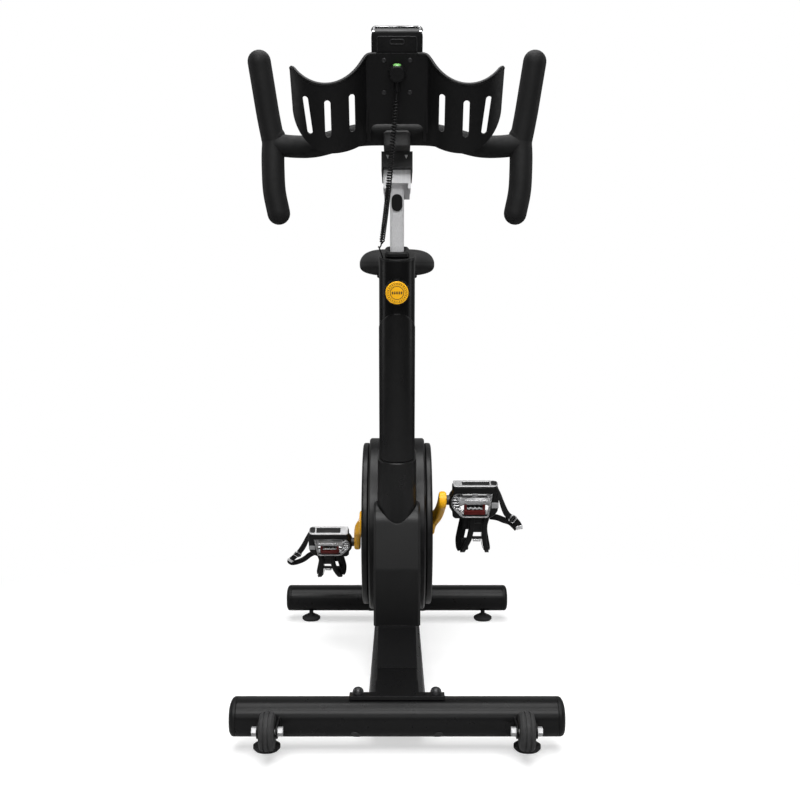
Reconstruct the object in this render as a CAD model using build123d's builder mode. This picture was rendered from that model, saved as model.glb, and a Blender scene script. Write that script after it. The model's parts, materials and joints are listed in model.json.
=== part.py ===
from build123d import *
import os
from math import cos, pi, radians, sin

# Indoor cycling bike: a V-shaped steel frame on two floor stabilisers, a belt drive to an enclosed
# rear flywheel, a saddle and a handlebar that adjust in height and reach, a console on a winged tray
# and a curly console lead. Millimetres. +Z is up and -Y is the front. The origin lies on the floor
# under the middle of the bounding box.

os.makedirs("parts", exist_ok=True)

# Floor stabilisers, feet and transport wheels
stabiliser_width = 540.0
stabiliser_spacing = 900.0
front_y = -418.5
rear_y = front_y + stabiliser_spacing
tube_depth = 70.0
tube_height = 66.0
tube_mid_z = 52.0
tube_corner = 20.0
tube_wall = 3.0
cap_length = 12.0
cap_bulge = 4.0
foot_x = 211.0
foot_radius = 22.0
stud_radius = 5.0
wheel_x = 202.0
wheel_radius = 30.0
wheel_width = 23.0
wheel_y = front_y - 68.0
wheel_z = 53.0
wheel_bolt_radius = 4.0
plate_bolt_x = 63.0

# Base beam and frame tubes
beam_width = 95.0
beam_height = 60.0
beam_top = 85.0
column_lean = 14.3
column_top_y = -208.0
column_top_z = 822.5
column_width = 65.0
column_depth = 105.0
seat_lean = 17.0
seat_width = 58.0
seat_depth = 84.0
frame_wall = 3.0

# Drive
crank_y = 81.5
crank_z = 297.5
crank_length = 170.0
crank_rise = 22.8
axle_radius = 10.0
drive_radius = 112.0
driven_radius = 28.0
belt_x = 46.0
belt_width = 10.0
belt_gap = 0.3
belt_thickness = 3.0
flywheel_y = 341.5
flywheel_z = 300.0
flywheel_radius = 125.0
shroud_half = 56.0
drum_radius = 176.0
disc_face = 69.5
lobe_radius = 150.0

# Pedals
pedal_lean_left = 37.0
pedal_lean_right = 21.5
pedal_x = 151.5
pedal_width = 89.0
pedal_length = 69.0
pedal_thick = 26.0
clip_reach = 86.0
clip_offset = 6.0

# Handlebar, tray and console
post_width = 25.0
post_depth = 60.0
post_fit = 0.15
guide_lip = 1.8
bar_y = -323.5
bar_mid_z = 1018.0
bar_radius = 19.6
tray_tilt = 31.0
tray_foot = Vector(0, -363.5, 996)
tray_wall = 3.5

# Curly console lead
lead_radius = 1.3
coil_radius = 3.2
coil_turns = 38
lead_hole_x = -25.5
lead_hole_y = -30.0

# Saddle
saddle_rail_z = 786.0
saddle_y = 305.0

column_plane = Plane(
    origin=(0, column_top_y, column_top_z),
    x_dir=(1, 0, 0),
    z_dir=(0, -sin(radians(column_lean)), cos(radians(column_lean))),
)
seat_top_z = 690.0
seat_top_y = crank_y + (seat_top_z - crank_z) * sin(radians(seat_lean)) / cos(radians(seat_lean))
seat_plane = Plane(
    origin=(0, seat_top_y, seat_top_z),
    x_dir=(1, 0, 0),
    z_dir=(0, sin(radians(seat_lean)), cos(radians(seat_lean))),
)
tray_plane = Plane(
    origin=tray_foot,
    x_dir=(1, 0, 0),
    z_dir=(0, -cos(radians(tray_tilt)), -sin(radians(tray_tilt))),
)
column_axis = Axis(column_plane.origin, column_plane.z_dir)
tray_axis = Axis(tray_plane.origin, tray_plane.z_dir)


def save(piece, node):
    """Labels a finished piece with its node name and writes it to its own file."""
    piece.part.label = node
    export_step(piece.part, f"parts/{node}.step")


def across(y, z, x=0.0):
    """Plane whose normal is +X, with its origin at the given point."""
    return Plane(origin=(x, y, z), x_dir=(0, 1, 0), z_dir=(1, 0, 0))


def stadium(depth, width):
    """Round-fronted tube outline, long way fore and aft."""
    SlotOverall(depth, width, rotation=90)


def stabiliser(axis_y):
    """Hollow cross tube with bolt holes and the threaded bushes of its two levelling feet."""
    length = stabiliser_width - 2 * cap_length
    with BuildPart() as tube:
        with BuildSketch(across(axis_y, tube_mid_z, -length / 2)):
            RectangleRounded(tube_depth, tube_height, tube_corner)
            RectangleRounded(
                tube_depth - 2 * tube_wall,
                tube_height - 2 * tube_wall,
                tube_corner - tube_wall,
                mode=Mode.SUBTRACT,
            )
        extrude(amount=length)
        with Locations((-plate_bolt_x, axis_y, tube_mid_z), (plate_bolt_x, axis_y, tube_mid_z)):
            Cylinder(5.0, tube_height + 10, mode=Mode.SUBTRACT)
        with Locations((-foot_x, axis_y, 34), (foot_x, axis_y, 34)):
            Cylinder(9.0, 26)
        with Locations((-foot_x, axis_y, 30), (foot_x, axis_y, 30)):
            Cylinder(stud_radius + 0.06, 40, mode=Mode.SUBTRACT)
    return tube


rear_stabiliser = stabiliser(rear_y)
save(rear_stabiliser, "rear_stabiliser")

front_tube = stabiliser(front_y)
with BuildPart() as front_stabiliser:
    add(front_tube.part)
    # A pair of welded ears carries each transport wheel in front of the tube.
    for side in (-1, 1):
        for ear_x in (side * wheel_x - 16.5, side * wheel_x + 13.5):
            with BuildSketch(across(wheel_y, wheel_z, ear_x)):
                Circle(11)
                with Locations((17.5, 0)):
                    Rectangle(35, 22)
                Circle(wheel_bolt_radius, mode=Mode.SUBTRACT)
            extrude(amount=3)
save(front_stabiliser, "front_stabiliser")

with BuildPart() as stabiliser_end_caps:
    # Each plug bulges outwards in an arc seen from the front.
    for axis_y in (front_y, rear_y):
        for side in (-1, 1):
            inner = side * (stabiliser_width / 2 - cap_length)
            mouth = Plane(origin=(inner, axis_y, tube_mid_z), x_dir=(0, 1, 0), z_dir=(side, 0, 0))
            with BuildSketch(mouth):
                RectangleRounded(tube_depth, tube_height, tube_corner)
            extrude(amount=cap_length)
    with BuildSketch(Plane.XZ.offset(-600)) as lens:
        with Locations((0, tube_mid_z)):
            Rectangle(2 * (stabiliser_width / 2 - cap_bulge), tube_height)
        for side in (-1, 1):
            edge = side * (stabiliser_width / 2 - cap_bulge)
            with BuildLine():
                ThreePointArc(
                    (edge, tube_mid_z - tube_height / 2),
                    (side * stabiliser_width / 2, tube_mid_z),
                    (edge, tube_mid_z + tube_height / 2),
                )
                Line((edge, tube_mid_z + tube_height / 2), (edge, tube_mid_z - tube_height / 2))
            make_face()
    extrude(amount=1200, mode=Mode.INTERSECT)
save(stabiliser_end_caps, "stabiliser_end_caps")

with BuildPart() as base_beam:
    with BuildSketch(Plane.XZ.offset(-(rear_y - tube_depth / 2))):
        with Locations((0, beam_top - beam_height / 2)):
            RectangleRounded(beam_width, beam_height, 15)
            RectangleRounded(beam_width - 6, beam_height - 6, 12, mode=Mode.SUBTRACT)
    extrude(amount=stabiliser_spacing - tube_depth)
    # Flat flanges that bolt the beam onto the stabilisers, each with a tongue along the beam.
    for axis_y, inward in ((front_y, 1), (rear_y, -1)):
        with BuildSketch(Plane.XY.offset(beam_top)):
            with BuildLine():
                Polyline(
                    (-77, axis_y - 14 * inward),
                    (77, axis_y - 14 * inward),
                    (77, axis_y + 10 * inward),
                    (36, axis_y + 10 * inward),
                    (36, axis_y + 76 * inward),
                    (-36, axis_y + 76 * inward),
                    (-36, axis_y + 10 * inward),
                    (-77, axis_y + 10 * inward),
                    close=True,
                )
            make_face()
            with Locations((-plate_bolt_x, axis_y), (plate_bolt_x, axis_y)):
                Circle(5.0, mode=Mode.SUBTRACT)
        extrude(amount=6)
    # Upright plates that carry the flywheel.
    for x in (-31, 25):
        with BuildSketch(across(flywheel_y, flywheel_z, x)):
            with BuildSketch(across(flywheel_y, flywheel_z, x)):
                Circle(26)
                with Locations((-6, beam_top - flywheel_z + 4)):
                    Rectangle(130, 8)
                make_hull()
            Circle(14, mode=Mode.SUBTRACT)
            with Locations((-3, -120)):
                SlotOverall(110, 34, rotation=90, mode=Mode.SUBTRACT)
        extrude(amount=6)
save(base_beam, "base_beam")

with BuildPart() as stabiliser_bolts:
    for axis_y in (front_y, rear_y):
        for x in (-plate_bolt_x, plate_bolt_x):
            with BuildSketch(Plane(origin=(x, axis_y, 0), x_dir=(1, 0, 0), z_dir=(0, -1, 0))):
                with BuildLine():
                    Polyline((0, 102.5), (0, 15), (8, 15), (10, 17), (10, 19), (5, 19), (5, 91), (9, 91))
                    Polyline((9, 91), (9, 95), (7.5, 99), (4.5, 101.5), (0, 102.5))
                make_face()
            revolve(axis=Axis((x, axis_y, 0), (0, 0, 1)))
save(stabiliser_bolts, "stabiliser_bolts")

with BuildPart() as wheel_bolts:
    for side in (-1, 1):
        with BuildSketch(across(wheel_y, wheel_z, side * wheel_x - 24.5)):
            RegularPolygon(7.5, 6)
        extrude(amount=8)
        with BuildSketch(across(wheel_y, wheel_z, side * wheel_x - 16.5)):
            Circle(wheel_bolt_radius)
        extrude(amount=33)
        with BuildSketch(across(wheel_y, wheel_z, side * wheel_x + 16.5)):
            RegularPolygon(7.5, 6)
        extrude(amount=8)
save(wheel_bolts, "wheel_bolts")


def transport_wheel(mid_x):
    """Rubber roller with a crowned tread and two shallow grooves, turning on its bolt."""
    half = wheel_width / 2
    with BuildPart() as wheel:
        with BuildSketch(Plane(origin=(mid_x, wheel_y, wheel_z), x_dir=(1, 0, 0), z_dir=(0, -1, 0))):
            with BuildLine():
                Polyline(
                    (-half, wheel_bolt_radius + 0.06),
                    (-half, wheel_radius - 4),
                    (-half + 3, wheel_radius - 1),
                    (-5, wheel_radius - 0.3),
                    (-4.5, wheel_radius - 2),
                    (-3, wheel_radius - 2),
                    (-2.5, wheel_radius),
                    (2.5, wheel_radius),
                    (3, wheel_radius - 2),
                    (4.5, wheel_radius - 2),
                    (5, wheel_radius - 0.3),
                    (half - 3, wheel_radius - 1),
                    (half, wheel_radius - 4),
                    (half, wheel_bolt_radius + 0.06),
                    close=True,
                )
            make_face()
        revolve(axis=Axis((mid_x, wheel_y, wheel_z), (1, 0, 0)))
    return wheel


save(transport_wheel(-wheel_x), "transport_wheel_left")
save(transport_wheel(wheel_x), "transport_wheel_right")


def levelling_foot(x, y):
    """Plastic pad with a threaded stud that screws into the stabiliser."""
    with BuildPart() as foot:
        with BuildSketch(Plane(origin=(x, y, 0), x_dir=(1, 0, 0), z_dir=(0, -1, 0))):
            with BuildLine():
                Polyline(
                    (0, 0),
                    (foot_radius - 4, 0),
                    (foot_radius, 4),
                    (foot_radius, 9),
                    (foot_radius - 6, 13),
                    (9, 13),
                    (9, 16.5),
                    (stud_radius, 16.5),
                    (stud_radius, 44),
                    (0, 44),
                    close=True,
                )
            make_face()
        revolve(axis=Axis((x, y, 0), (0, 0, 1)))
    return foot


for end, foot_y in (("front", front_y), ("rear", rear_y)):
    save(levelling_foot(-foot_x, foot_y), f"levelling_foot_{end}_left")
    save(levelling_foot(foot_x, foot_y), f"levelling_foot_{end}_right")

# Frame tubes
knob_drop = 54.0
resistance_drop = 150.0
with BuildPart() as front_column:
    with BuildSketch(column_plane):
        stadium(column_depth, column_width)
        with BuildSketch(column_plane, mode=Mode.SUBTRACT):
            stadium(column_depth - 2 * frame_wall, column_width - 2 * frame_wall)
    extrude(amount=-900)
    split(bisect_by=Plane.XY.offset(beam_top), keep=Keep.TOP)
    # Bores for the height knob in front and the resistance knob behind.
    with Locations(column_plane * Pos(0, -column_depth / 2, -knob_drop) * Rot(90, 0, 0)):
        Cylinder(7.0, 40, mode=Mode.SUBTRACT)
    with Locations(column_plane * Pos(0, column_depth / 2, -resistance_drop) * Rot(90, 0, 0)):
        Cylinder(6.0, 40, mode=Mode.SUBTRACT)
save(front_column, "front_column")

seat_knob_drop = 46.0
with BuildPart() as seat_tube:
    with BuildSketch(seat_plane):
        stadium(seat_depth, seat_width)
        with BuildSketch(seat_plane, mode=Mode.SUBTRACT):
            stadium(seat_depth - 2 * frame_wall, seat_width - 2 * frame_wall)
    extrude(amount=-760)
    split(bisect_by=Plane.XY.offset(beam_top), keep=Keep.TOP)
    # Fish-mouthed onto the column where the two legs of the V meet.
    with BuildSketch(column_plane):
        stadium(column_depth, column_width)
    extrude(amount=-900, mode=Mode.SUBTRACT)
    # Bottom bracket shell, welded across the tube.
    with BuildSketch(across(crank_y, crank_z, -36)):
        Circle(22)
    extrude(amount=72)
    with BuildSketch(across(crank_y, crank_z, -36)):
        Circle(18)
    extrude(amount=72, mode=Mode.SUBTRACT)
    with Locations(seat_plane * Pos(0, seat_depth / 2, -seat_knob_drop) * Rot(90, 0, 0)):
        Cylinder(7.0, 40, mode=Mode.SUBTRACT)
save(seat_tube, "seat_tube")

with BuildPart() as bearings:
    for x in (-36, 24):
        with BuildSketch(across(crank_y, crank_z, x)):
            Circle(18)
            Circle(axle_radius + 0.05, mode=Mode.SUBTRACT)
        extrude(amount=12)
    for x in (-31, 25):
        with BuildSketch(across(flywheel_y, flywheel_z, x)):
            Circle(14)
            Circle(8.05, mode=Mode.SUBTRACT)
        extrude(amount=6)
save(bearings, "bearings")


# Covers
def drum_outline(inset):
    """Two circles round the crank and the flywheel, joined by their outer tangents."""
    with Locations((crank_y, crank_z)):
        Circle(drum_radius - inset)
    with Locations((flywheel_y, flywheel_z)):
        Circle(lobe_radius - inset)
    make_hull()


def shroud(side):
    """One hollow half of the drive cover, split at the middle plane of the bike."""
    with BuildPart() as half:
        with BuildSketch(Plane.YZ):
            drum_outline(0)
        extrude(amount=side * shroud_half)
        outer = half.faces().sort_by(Axis.X)[-1 if side > 0 else 0]
        chamfer(outer.edges(), 3)
        with BuildSketch(Plane.YZ):
            drum_outline(3.5)
        extrude(amount=side * (shroud_half - 3.5), mode=Mode.SUBTRACT)
        # Openings for the two frame tubes, the flywheel brackets and the axle.
        with BuildSketch(column_plane):
            stadium(column_depth + 9, column_width + 9)
        extrude(amount=-900, mode=Mode.SUBTRACT)
        with BuildSketch(seat_plane):
            stadium(seat_depth + 1, seat_width + 1)
        extrude(amount=-760, mode=Mode.SUBTRACT)
        with Locations((side * 28, flywheel_y - 6, 150)):
            Box(8, 132, 60, mode=Mode.SUBTRACT)
        with BuildSketch(across(crank_y, crank_z)):
            Circle(26)
        extrude(amount=side * 70, mode=Mode.SUBTRACT)
    return half


save(shroud(-1), "shroud_left")
save(shroud(1), "shroud_right")

with BuildPart() as disc_covers:
    # Dished discs over the crank: a flat rim, a raised ring and a recess in which the crank root turns.
    for side in (-1, 1):
        with BuildSketch(Plane(origin=(0, crank_y, crank_z), x_dir=(side, 0, 0), z_dir=(0, -side, 0))):
            with BuildLine():
                Polyline(
                    (shroud_half, 16),
                    (shroud_half, 163),
                    (shroud_half + 3, 166),
                    (disc_face - 4, 166),
                    (disc_face - 1.2, 164.8),
                    (disc_face, 162),
                    (disc_face, 153),
                    (disc_face - 2, 149),
                    (disc_face - 2, 60),
                    (disc_face, 56),
                    (disc_face, 45),
                    (60, 36),
                    (60, 16),
                    close=True,
                )
            make_face()
        revolve(axis=Axis((0, crank_y, crank_z), (1, 0, 0)))
save(disc_covers, "disc_covers")

keel_half = 44.0
keel_crease = (-151.5, 241)
keel_brow = (-140.6, 328)
keel_crown = (-100.9, 363)
with BuildLine() as keel_side:
    # Side view: a rounded brow under the sleeve, a crease and an undercut lower face.
    ThreePointArc(keel_crown, (-129.2, 351.3), keel_brow)
    Polyline(keel_brow, keel_crease, (-143.5, 135), (40, 135), (40, keel_crown[1]), keel_crown)
with BuildPart() as keel_covers:
    # Two moulded halves in front of the drum, meeting at the middle plane.
    for side in (-1, 1):
        with BuildSketch(Plane.YZ):
            make_face(keel_side.edges())
        extrude(amount=side * keel_half)
    chamfer(keel_covers.edges().filter_by(GeomType.LINE).group_by(Axis.Y)[0], 4)
    for cheek in (keel_covers.faces().sort_by(Axis.X)[0], keel_covers.faces().sort_by(Axis.X)[-1]):
        chamfer([edge for edge in cheek.edges() if edge.center().Y < keel_crown[0]], 4)
    with BuildSketch(Plane.YZ.offset(-keel_half + 3)):
        make_face(keel_side.edges())
        offset(amount=-3, kind=Kind.INTERSECTION, mode=Mode.REPLACE)
    extrude(amount=2 * keel_half - 6, mode=Mode.SUBTRACT)
    with BuildSketch(across(crank_y, crank_z, -60)):
        Circle(drum_radius + 0.5)
    extrude(amount=120, mode=Mode.SUBTRACT)
    with BuildSketch(column_plane):
        stadium(column_depth + 9, column_width + 9)
    extrude(amount=-900, mode=Mode.SUBTRACT)
    with BuildSketch(seat_plane):
        stadium(seat_depth + 1, seat_width + 1)
    extrude(amount=-760, mode=Mode.SUBTRACT)
    split(bisect_by=Plane.YZ, keep=Keep.BOTH)

with BuildPart() as toe_cover:
    with BuildSketch(Plane.YZ.offset(-35)):
        with BuildLine():
            Polyline((-248.5, 85), (-157.5, 135), (-104, 135), (-104, 85), close=True)
        make_face()
    extrude(amount=70)
    with BuildSketch(Plane.YZ.offset(-31)):
        with BuildLine():
            Polyline((-228, 85), (-156, 124.5), (-108, 124.5), (-108, 85), close=True)
        make_face()
    extrude(amount=62, mode=Mode.SUBTRACT)

with BuildPart() as front_covers:
    add(keel_covers.part)
    add(toe_cover.part)
save(front_covers, "front_covers")

with BuildPart() as column_sleeve:
    # Plastic sleeve round the foot of the column, two halves closed into one ring.
    with BuildSketch(column_plane.offset(-518)):
        stadium(column_depth + 8, column_width + 8)
        with BuildSketch(column_plane.offset(-518), mode=Mode.SUBTRACT):
            stadium(column_depth, column_width)
    extrude(amount=140)
    chamfer(column_sleeve.faces().sort_by(column_axis)[-1].outer_wire().edges(), 2)
save(column_sleeve, "column_sleeve")


def post_guide(plane, depth, width, hole_depth, holes):
    """Plug in the top of a frame tube: an inner sleeve under a thin lip that covers the tube's rim."""
    up = Axis(plane.origin, plane.z_dir)
    with BuildPart() as guide:
        with BuildSketch(plane.offset(-120)):
            stadium(depth - 2 * frame_wall, width - 2 * frame_wall)
        extrude(amount=120)
        with BuildSketch(plane):
            stadium(depth, width)
        extrude(amount=guide_lip)
        chamfer(guide.faces().sort_by(up)[-1].edges(), guide_lip / 2)
        with BuildSketch(plane.offset(-125)):
            RectangleRounded(post_width + 2 * post_fit, hole_depth + 2 * post_fit, 6 + post_fit)
        extrude(amount=160, mode=Mode.SUBTRACT)
        for drop, sign, radius in holes:
            with Locations(plane * Pos(0, sign * depth / 2, -drop) * Rot(90, 0, 0)):
                Cylinder(radius, depth - 10, mode=Mode.SUBTRACT)
    return guide


column_guide = post_guide(column_plane, column_depth, column_width, post_depth, [(knob_drop, -1, 7.0)])
seat_guide = post_guide(seat_plane, seat_depth, seat_width, post_depth - 8, [(seat_knob_drop, 1, 7.0)])
with BuildPart() as post_guides:
    add(column_guide.part)
    # The lead passes down through a hole at the front left of the post.
    with Locations(column_plane * Pos(lead_hole_x, lead_hole_y, 0)):
        Cylinder(lead_radius, 40, mode=Mode.SUBTRACT)
    add(seat_guide.part)
save(post_guides, "post_guides")

# Drive train
with BuildPart() as drive_belt:
    with BuildSketch(Plane.YZ.offset(belt_x - belt_width / 2)):
        with BuildSketch(Plane.YZ.offset(belt_x - belt_width / 2)):
            with Locations((crank_y, crank_z)):
                Circle(drive_radius + belt_gap + belt_thickness)
            with Locations((flywheel_y, flywheel_z)):
                Circle(driven_radius + belt_gap + belt_thickness)
            make_hull()
        with BuildSketch(Plane.YZ.offset(belt_x - belt_width / 2), mode=Mode.SUBTRACT):
            with Locations((crank_y, crank_z)):
                Circle(drive_radius + belt_gap)
            with Locations((flywheel_y, flywheel_z)):
                Circle(driven_radius + belt_gap)
            make_hull()
    extrude(amount=belt_width)
save(drive_belt, "drive_belt")

with BuildPart() as crank_axle:
    with BuildSketch(across(crank_y, crank_z, -79)):
        Circle(axle_radius)
    extrude(amount=158)
save(crank_axle, "crank_axle")

with BuildPart() as drive_pulley:
    with BuildSketch(across(crank_y, crank_z, belt_x - 5)):
        Circle(drive_radius)
        Circle(axle_radius, mode=Mode.SUBTRACT)
    extrude(amount=10)
    with BuildSketch(across(crank_y, crank_z, belt_x - 1)):
        Circle(drive_radius - 12)
        Circle(24, mode=Mode.SUBTRACT)
    extrude(amount=6, mode=Mode.SUBTRACT)
    with BuildSketch(across(crank_y, crank_z, belt_x - 6)):
        with PolarLocations(62, 5):
            Circle(20)
    extrude(amount=12, mode=Mode.SUBTRACT)
save(drive_pulley, "drive_pulley")

with BuildPart() as flywheel:
    with BuildSketch(Plane(origin=(0, flywheel_y, flywheel_z), x_dir=(1, 0, 0), z_dir=(0, -1, 0))):
        with BuildLine():
            Polyline(
                (-22, 0),
                (-22, 24),
                (-6, 28),
                (-6, 92),
                (-20, 96),
                (-20, flywheel_radius),
                (20, flywheel_radius),
                (20, 96),
                (6, 92),
                (6, 28),
                (22, 24),
                (22, 0),
                close=True,
            )
        make_face()
    revolve(axis=Axis((0, flywheel_y, flywheel_z), (1, 0, 0)))
    # Axle shaft with the small belt pulley outside the right bracket.
    with BuildSketch(across(flywheel_y, flywheel_z, -36)):
        Circle(8)
    extrude(amount=87.5)
    with BuildSketch(across(flywheel_y, flywheel_z, belt_x - 5.5)):
        Circle(driven_radius)
    extrude(amount=11)
save(flywheel, "flywheel")

with BuildPart() as brake_caliper:
    # Fixed magnet housing behind the seat tube, straddling the flywheel rim.
    with Locations((0, 189, 333)):
        Box(62, 110, 34)
    with Locations((0, 240, 333)):
        Box(45, 52, 40, mode=Mode.SUBTRACT)
    with BuildSketch(seat_plane):
        stadium(seat_depth, seat_width)
    extrude(amount=-760, mode=Mode.SUBTRACT)
    split(bisect_by=Plane.XZ.offset(-100), keep=Keep.BOTTOM)
save(brake_caliper, "brake_caliper")


def crank_arm(side):
    """Forged arm with an S-bend: the root sits in the dish of the cover and the end stands clear of it."""
    lean = radians(crank_rise)
    reach = (0, -side * cos(lean), side * sin(lean))
    face = Plane(origin=(0, crank_y, crank_z), x_dir=reach, z_dir=(side, 0, 0))
    across_arm = Vector(*reach).cross(Vector(side, 0, 0))
    edge = Plane(origin=(0, crank_y, crank_z), x_dir=reach, z_dir=across_arm)
    with BuildPart() as arm:
        with BuildSketch(edge.offset(-40)):
            with BuildLine():
                Polyline((-26, 62), (20, 62), (43, 75.5), (120, 79.5), (186, 81.5), (186, 96))
                Polyline((186, 96), (110, 95), (40, 90), (24, 83), (18, 78), (-26, 78), (-26, 62))
            make_face()
        extrude(amount=80)
        with BuildSketch(face.offset(50)):
            Circle(24)
            with Locations((crank_length, 0)):
                Circle(14.5)
            make_hull()
        extrude(amount=60, mode=Mode.INTERSECT)
        with BuildSketch(face.offset(50)):
            Circle(axle_radius)
            with Locations((crank_length, 0)):
                Circle(7)
        extrude(amount=60, mode=Mode.SUBTRACT)
    return arm


save(crank_arm(-1), "crank_arm_left")
save(crank_arm(1), "crank_arm_right")


def pedal_point(side):
    """Spindle centre of one pedal, where the crank end stands at rest."""
    lean = radians(crank_rise)
    return (
        crank_y - side * crank_length * cos(lean),
        crank_z + side * crank_length * sin(lean),
    )


with BuildPart() as pedal_spindles:
    for side in (-1, 1):
        y, z = pedal_point(side)
        root = Plane(origin=(0, y, z), x_dir=(0, 1, 0), z_dir=(side, 0, 0))
        for start, length, radius in ((81.6, 14.4, 7.0), (96.0, 6.0, 9.5), (102.0, 88.0, 6.0)):
            with BuildSketch(root.offset(start)):
                Circle(radius)
            extrude(amount=length)
save(pedal_spindles, "pedal_spindles")


def pedal_plane(side):
    """Frame of a hanging pedal: x along the spindle, y up to the heel end, z out of the upper face."""
    y, z = pedal_point(side)
    lean = radians(pedal_lean_right if side > 0 else pedal_lean_left)
    return Plane(
        origin=(side * pedal_x, y, z),
        x_dir=(1, 0, 0),
        z_dir=(0, -cos(lean), -sin(lean)),
    )


def pedal_body(side):
    """Alloy core: a barrel round the spindle, a spine, end plates and a step-in clip on one face."""
    frame = pedal_plane(side)
    with BuildPart() as body:
        with BuildSketch(frame.offset(-9)):
            Rectangle(69, 12)
            with Locations((0, 22), (0, -22)):
                Rectangle(66, 10)
            with Locations((-31, 0), (31, 0)):
                Rectangle(7, 54)
            Rectangle(28, 54)
        extrude(amount=18)
        with Locations(frame * Rot(0, 90, 0)):
            Cylinder(11, 69)
        with BuildSketch(frame.offset(8)):
            with Locations((0, 17), (0, -17)):
                Rectangle(34, 10)
        extrude(amount=8)
        with Locations(frame * Rot(0, 90, 0)):
            Cylinder(6.06, 90, mode=Mode.SUBTRACT)
    return body


def pedal_frame(side):
    """Resin cage round the core, with a window at the heel end."""
    frame = pedal_plane(side)
    half = pedal_thick / 2
    with BuildPart() as cage:
        with BuildSketch(frame.offset(-half)):
            RectangleRounded(pedal_width, pedal_length, 13)
            RectangleRounded(pedal_width - 20, pedal_length - 15, 6, mode=Mode.SUBTRACT)
        extrude(amount=pedal_thick)
        with Locations(frame * Pos(0, pedal_length / 2, 0)):
            Box(44, 30, 10, mode=Mode.SUBTRACT)
        with Locations(frame * Rot(0, 90, 0)):
            Cylinder(10.5, 120, mode=Mode.SUBTRACT)
        with Locations(frame):
            Box(69, 54, 18, mode=Mode.SUBTRACT)
    return cage


def toe_clip(side):
    """Two arms that leave the toe end of the cage, splay and curl over the shoe side, with a bridge."""
    frame = pedal_plane(side)
    toe = -pedal_length / 2
    tip = toe - clip_reach
    middle = side * clip_offset
    rise = Plane(origin=frame.origin, x_dir=-frame.y_dir, z_dir=frame.x_dir)
    with BuildPart() as clip:
        with BuildSketch(rise.offset(-45)):
            with BuildLine():
                Polyline((-toe + 16, 7), (-toe, 11), (-toe, -11), (-toe + 6, -11), (-toe + 18, -2))
                ThreePointArc((-toe + 18, -2), (-toe + 46, -3.5), (-tip - 13.5, -3))
                ThreePointArc((-tip - 13.5, -3), (-tip - 4, 1.2), (-tip, 12))
                Line((-tip, 12), (-tip - 1, 62))
                Line((-tip - 1, 62), (-tip - 7, 62))
                Line((-tip - 7, 62), (-tip - 6.2, 16))
                ThreePointArc((-tip - 6.2, 16), (-tip - 8.2, 9.2), (-tip - 14.5, 5.5))
                ThreePointArc((-tip - 14.5, 5.5), (-toe + 46, 5.5), (-toe + 16, 7))
            make_face()
        extrude(amount=90)
        with BuildSketch(frame.offset(-90)):
            arm = [(25, toe), (19.5, toe - 42), (27.5, tip), (16, tip), (8, toe - 56)]
            with BuildLine():
                far_arm = [(middle - x, y) for x, y in reversed(arm)]
                Polyline(*[(middle + x, y) for x, y in arm], *far_arm, close=True)
            make_face()
            with Locations((middle, toe - 37)):
                RectangleRounded(16, 13, 4, mode=Mode.SUBTRACT)
        extrude(amount=120, mode=Mode.INTERSECT)
    return clip


def strap(side):
    """Flat webbing that hangs in a three-cornered loop from the cage's outer corner to the toe clip."""
    frame = pedal_plane(side)
    half = pedal_width / 2
    points = [(half + 1.1, 16), (half + 2, 10), (72, -30), (90, -54), (83, -59), (62, -47), (30.7, -41)]
    with BuildPart() as band:
        with BuildSketch(frame.offset(-13)):
            with BuildLine():
                FilletPolyline(*[(side * x, y) for x, y in points], radius=3)
            trace(line_width=2.2)
        extrude(amount=13)
    return band


for name, side in (("left", -1), ("right", 1)):
    save(pedal_body(side), f"pedal_body_{name}")
    save(pedal_frame(side), f"pedal_frame_{name}")
    save(toe_clip(side), f"toe_clip_{name}")
    save(strap(side), f"pedal_strap_{name}")

# Handlebar post with its rail
rail_top = 966.0
with BuildPart() as handlebar_post:
    with BuildSketch(column_plane.offset(-210)):
        RectangleRounded(post_width, post_depth, 6)
        RectangleRounded(post_width - 6, post_depth - 6, 3, mode=Mode.SUBTRACT)
    extrude(amount=360)
    split(bisect_by=Plane.XY.offset(945), keep=Keep.BOTTOM)
    with BuildSketch(Plane.XZ.offset(283.5)):
        with Locations((0, (942.5 + rail_top) / 2)):
            Rectangle(48, rail_top - 942.5)
    extrude(amount=-175)
    with BuildSketch(Plane.XZ.offset(283.5)):
        with Locations((-21.5, 940), (21.5, 940)):
            Rectangle(5, 13)
    extrude(amount=-62)
save(handlebar_post, "handlebar_post")

with BuildPart() as post_trim:
    # Oval bumper on the front of the post and end cap at the back of the rail.
    with BuildSketch(column_plane.offset(100) * Pos(0, -post_depth / 2, 0) * Rot(90, 0, 0)):
        SlotOverall(30, 19, rotation=90)
    extrude(amount=2.5)
    with Locations((0, -106.5, (942.5 + rail_top) / 2)):
        Box(48, 4, rail_top - 942.5)
save(post_trim, "post_trim")

carriage_front = -303.5
carriage_length = 120.0
with BuildPart() as handlebar_carriage:
    with BuildSketch(Plane.XZ.offset(-carriage_front)):
        with Locations((0, 980.2)):
            Rectangle(54, 27.6)
        with Locations((-25.7, 963.7), (25.7, 963.7)):
            Rectangle(2.6, 8)
    extrude(amount=-carriage_length)
    with BuildSketch(Plane.XY.offset(994)):
        with Locations((0, bar_y + 2)):
            RectangleRounded(45, 66, 8)
    extrude(amount=26)
    chamfer(handlebar_carriage.faces().sort_by(Axis.Z)[-1].edges(), 4)
    # Half-round seat and cap for the bar.
    with BuildSketch(across(bar_y, bar_mid_z, -50)):
        Circle(bar_radius)
        with Locations((0, 20)):
            Rectangle(2 * bar_radius, 40)
    extrude(amount=100, mode=Mode.SUBTRACT)
save(handlebar_carriage, "handlebar_carriage")


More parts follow.
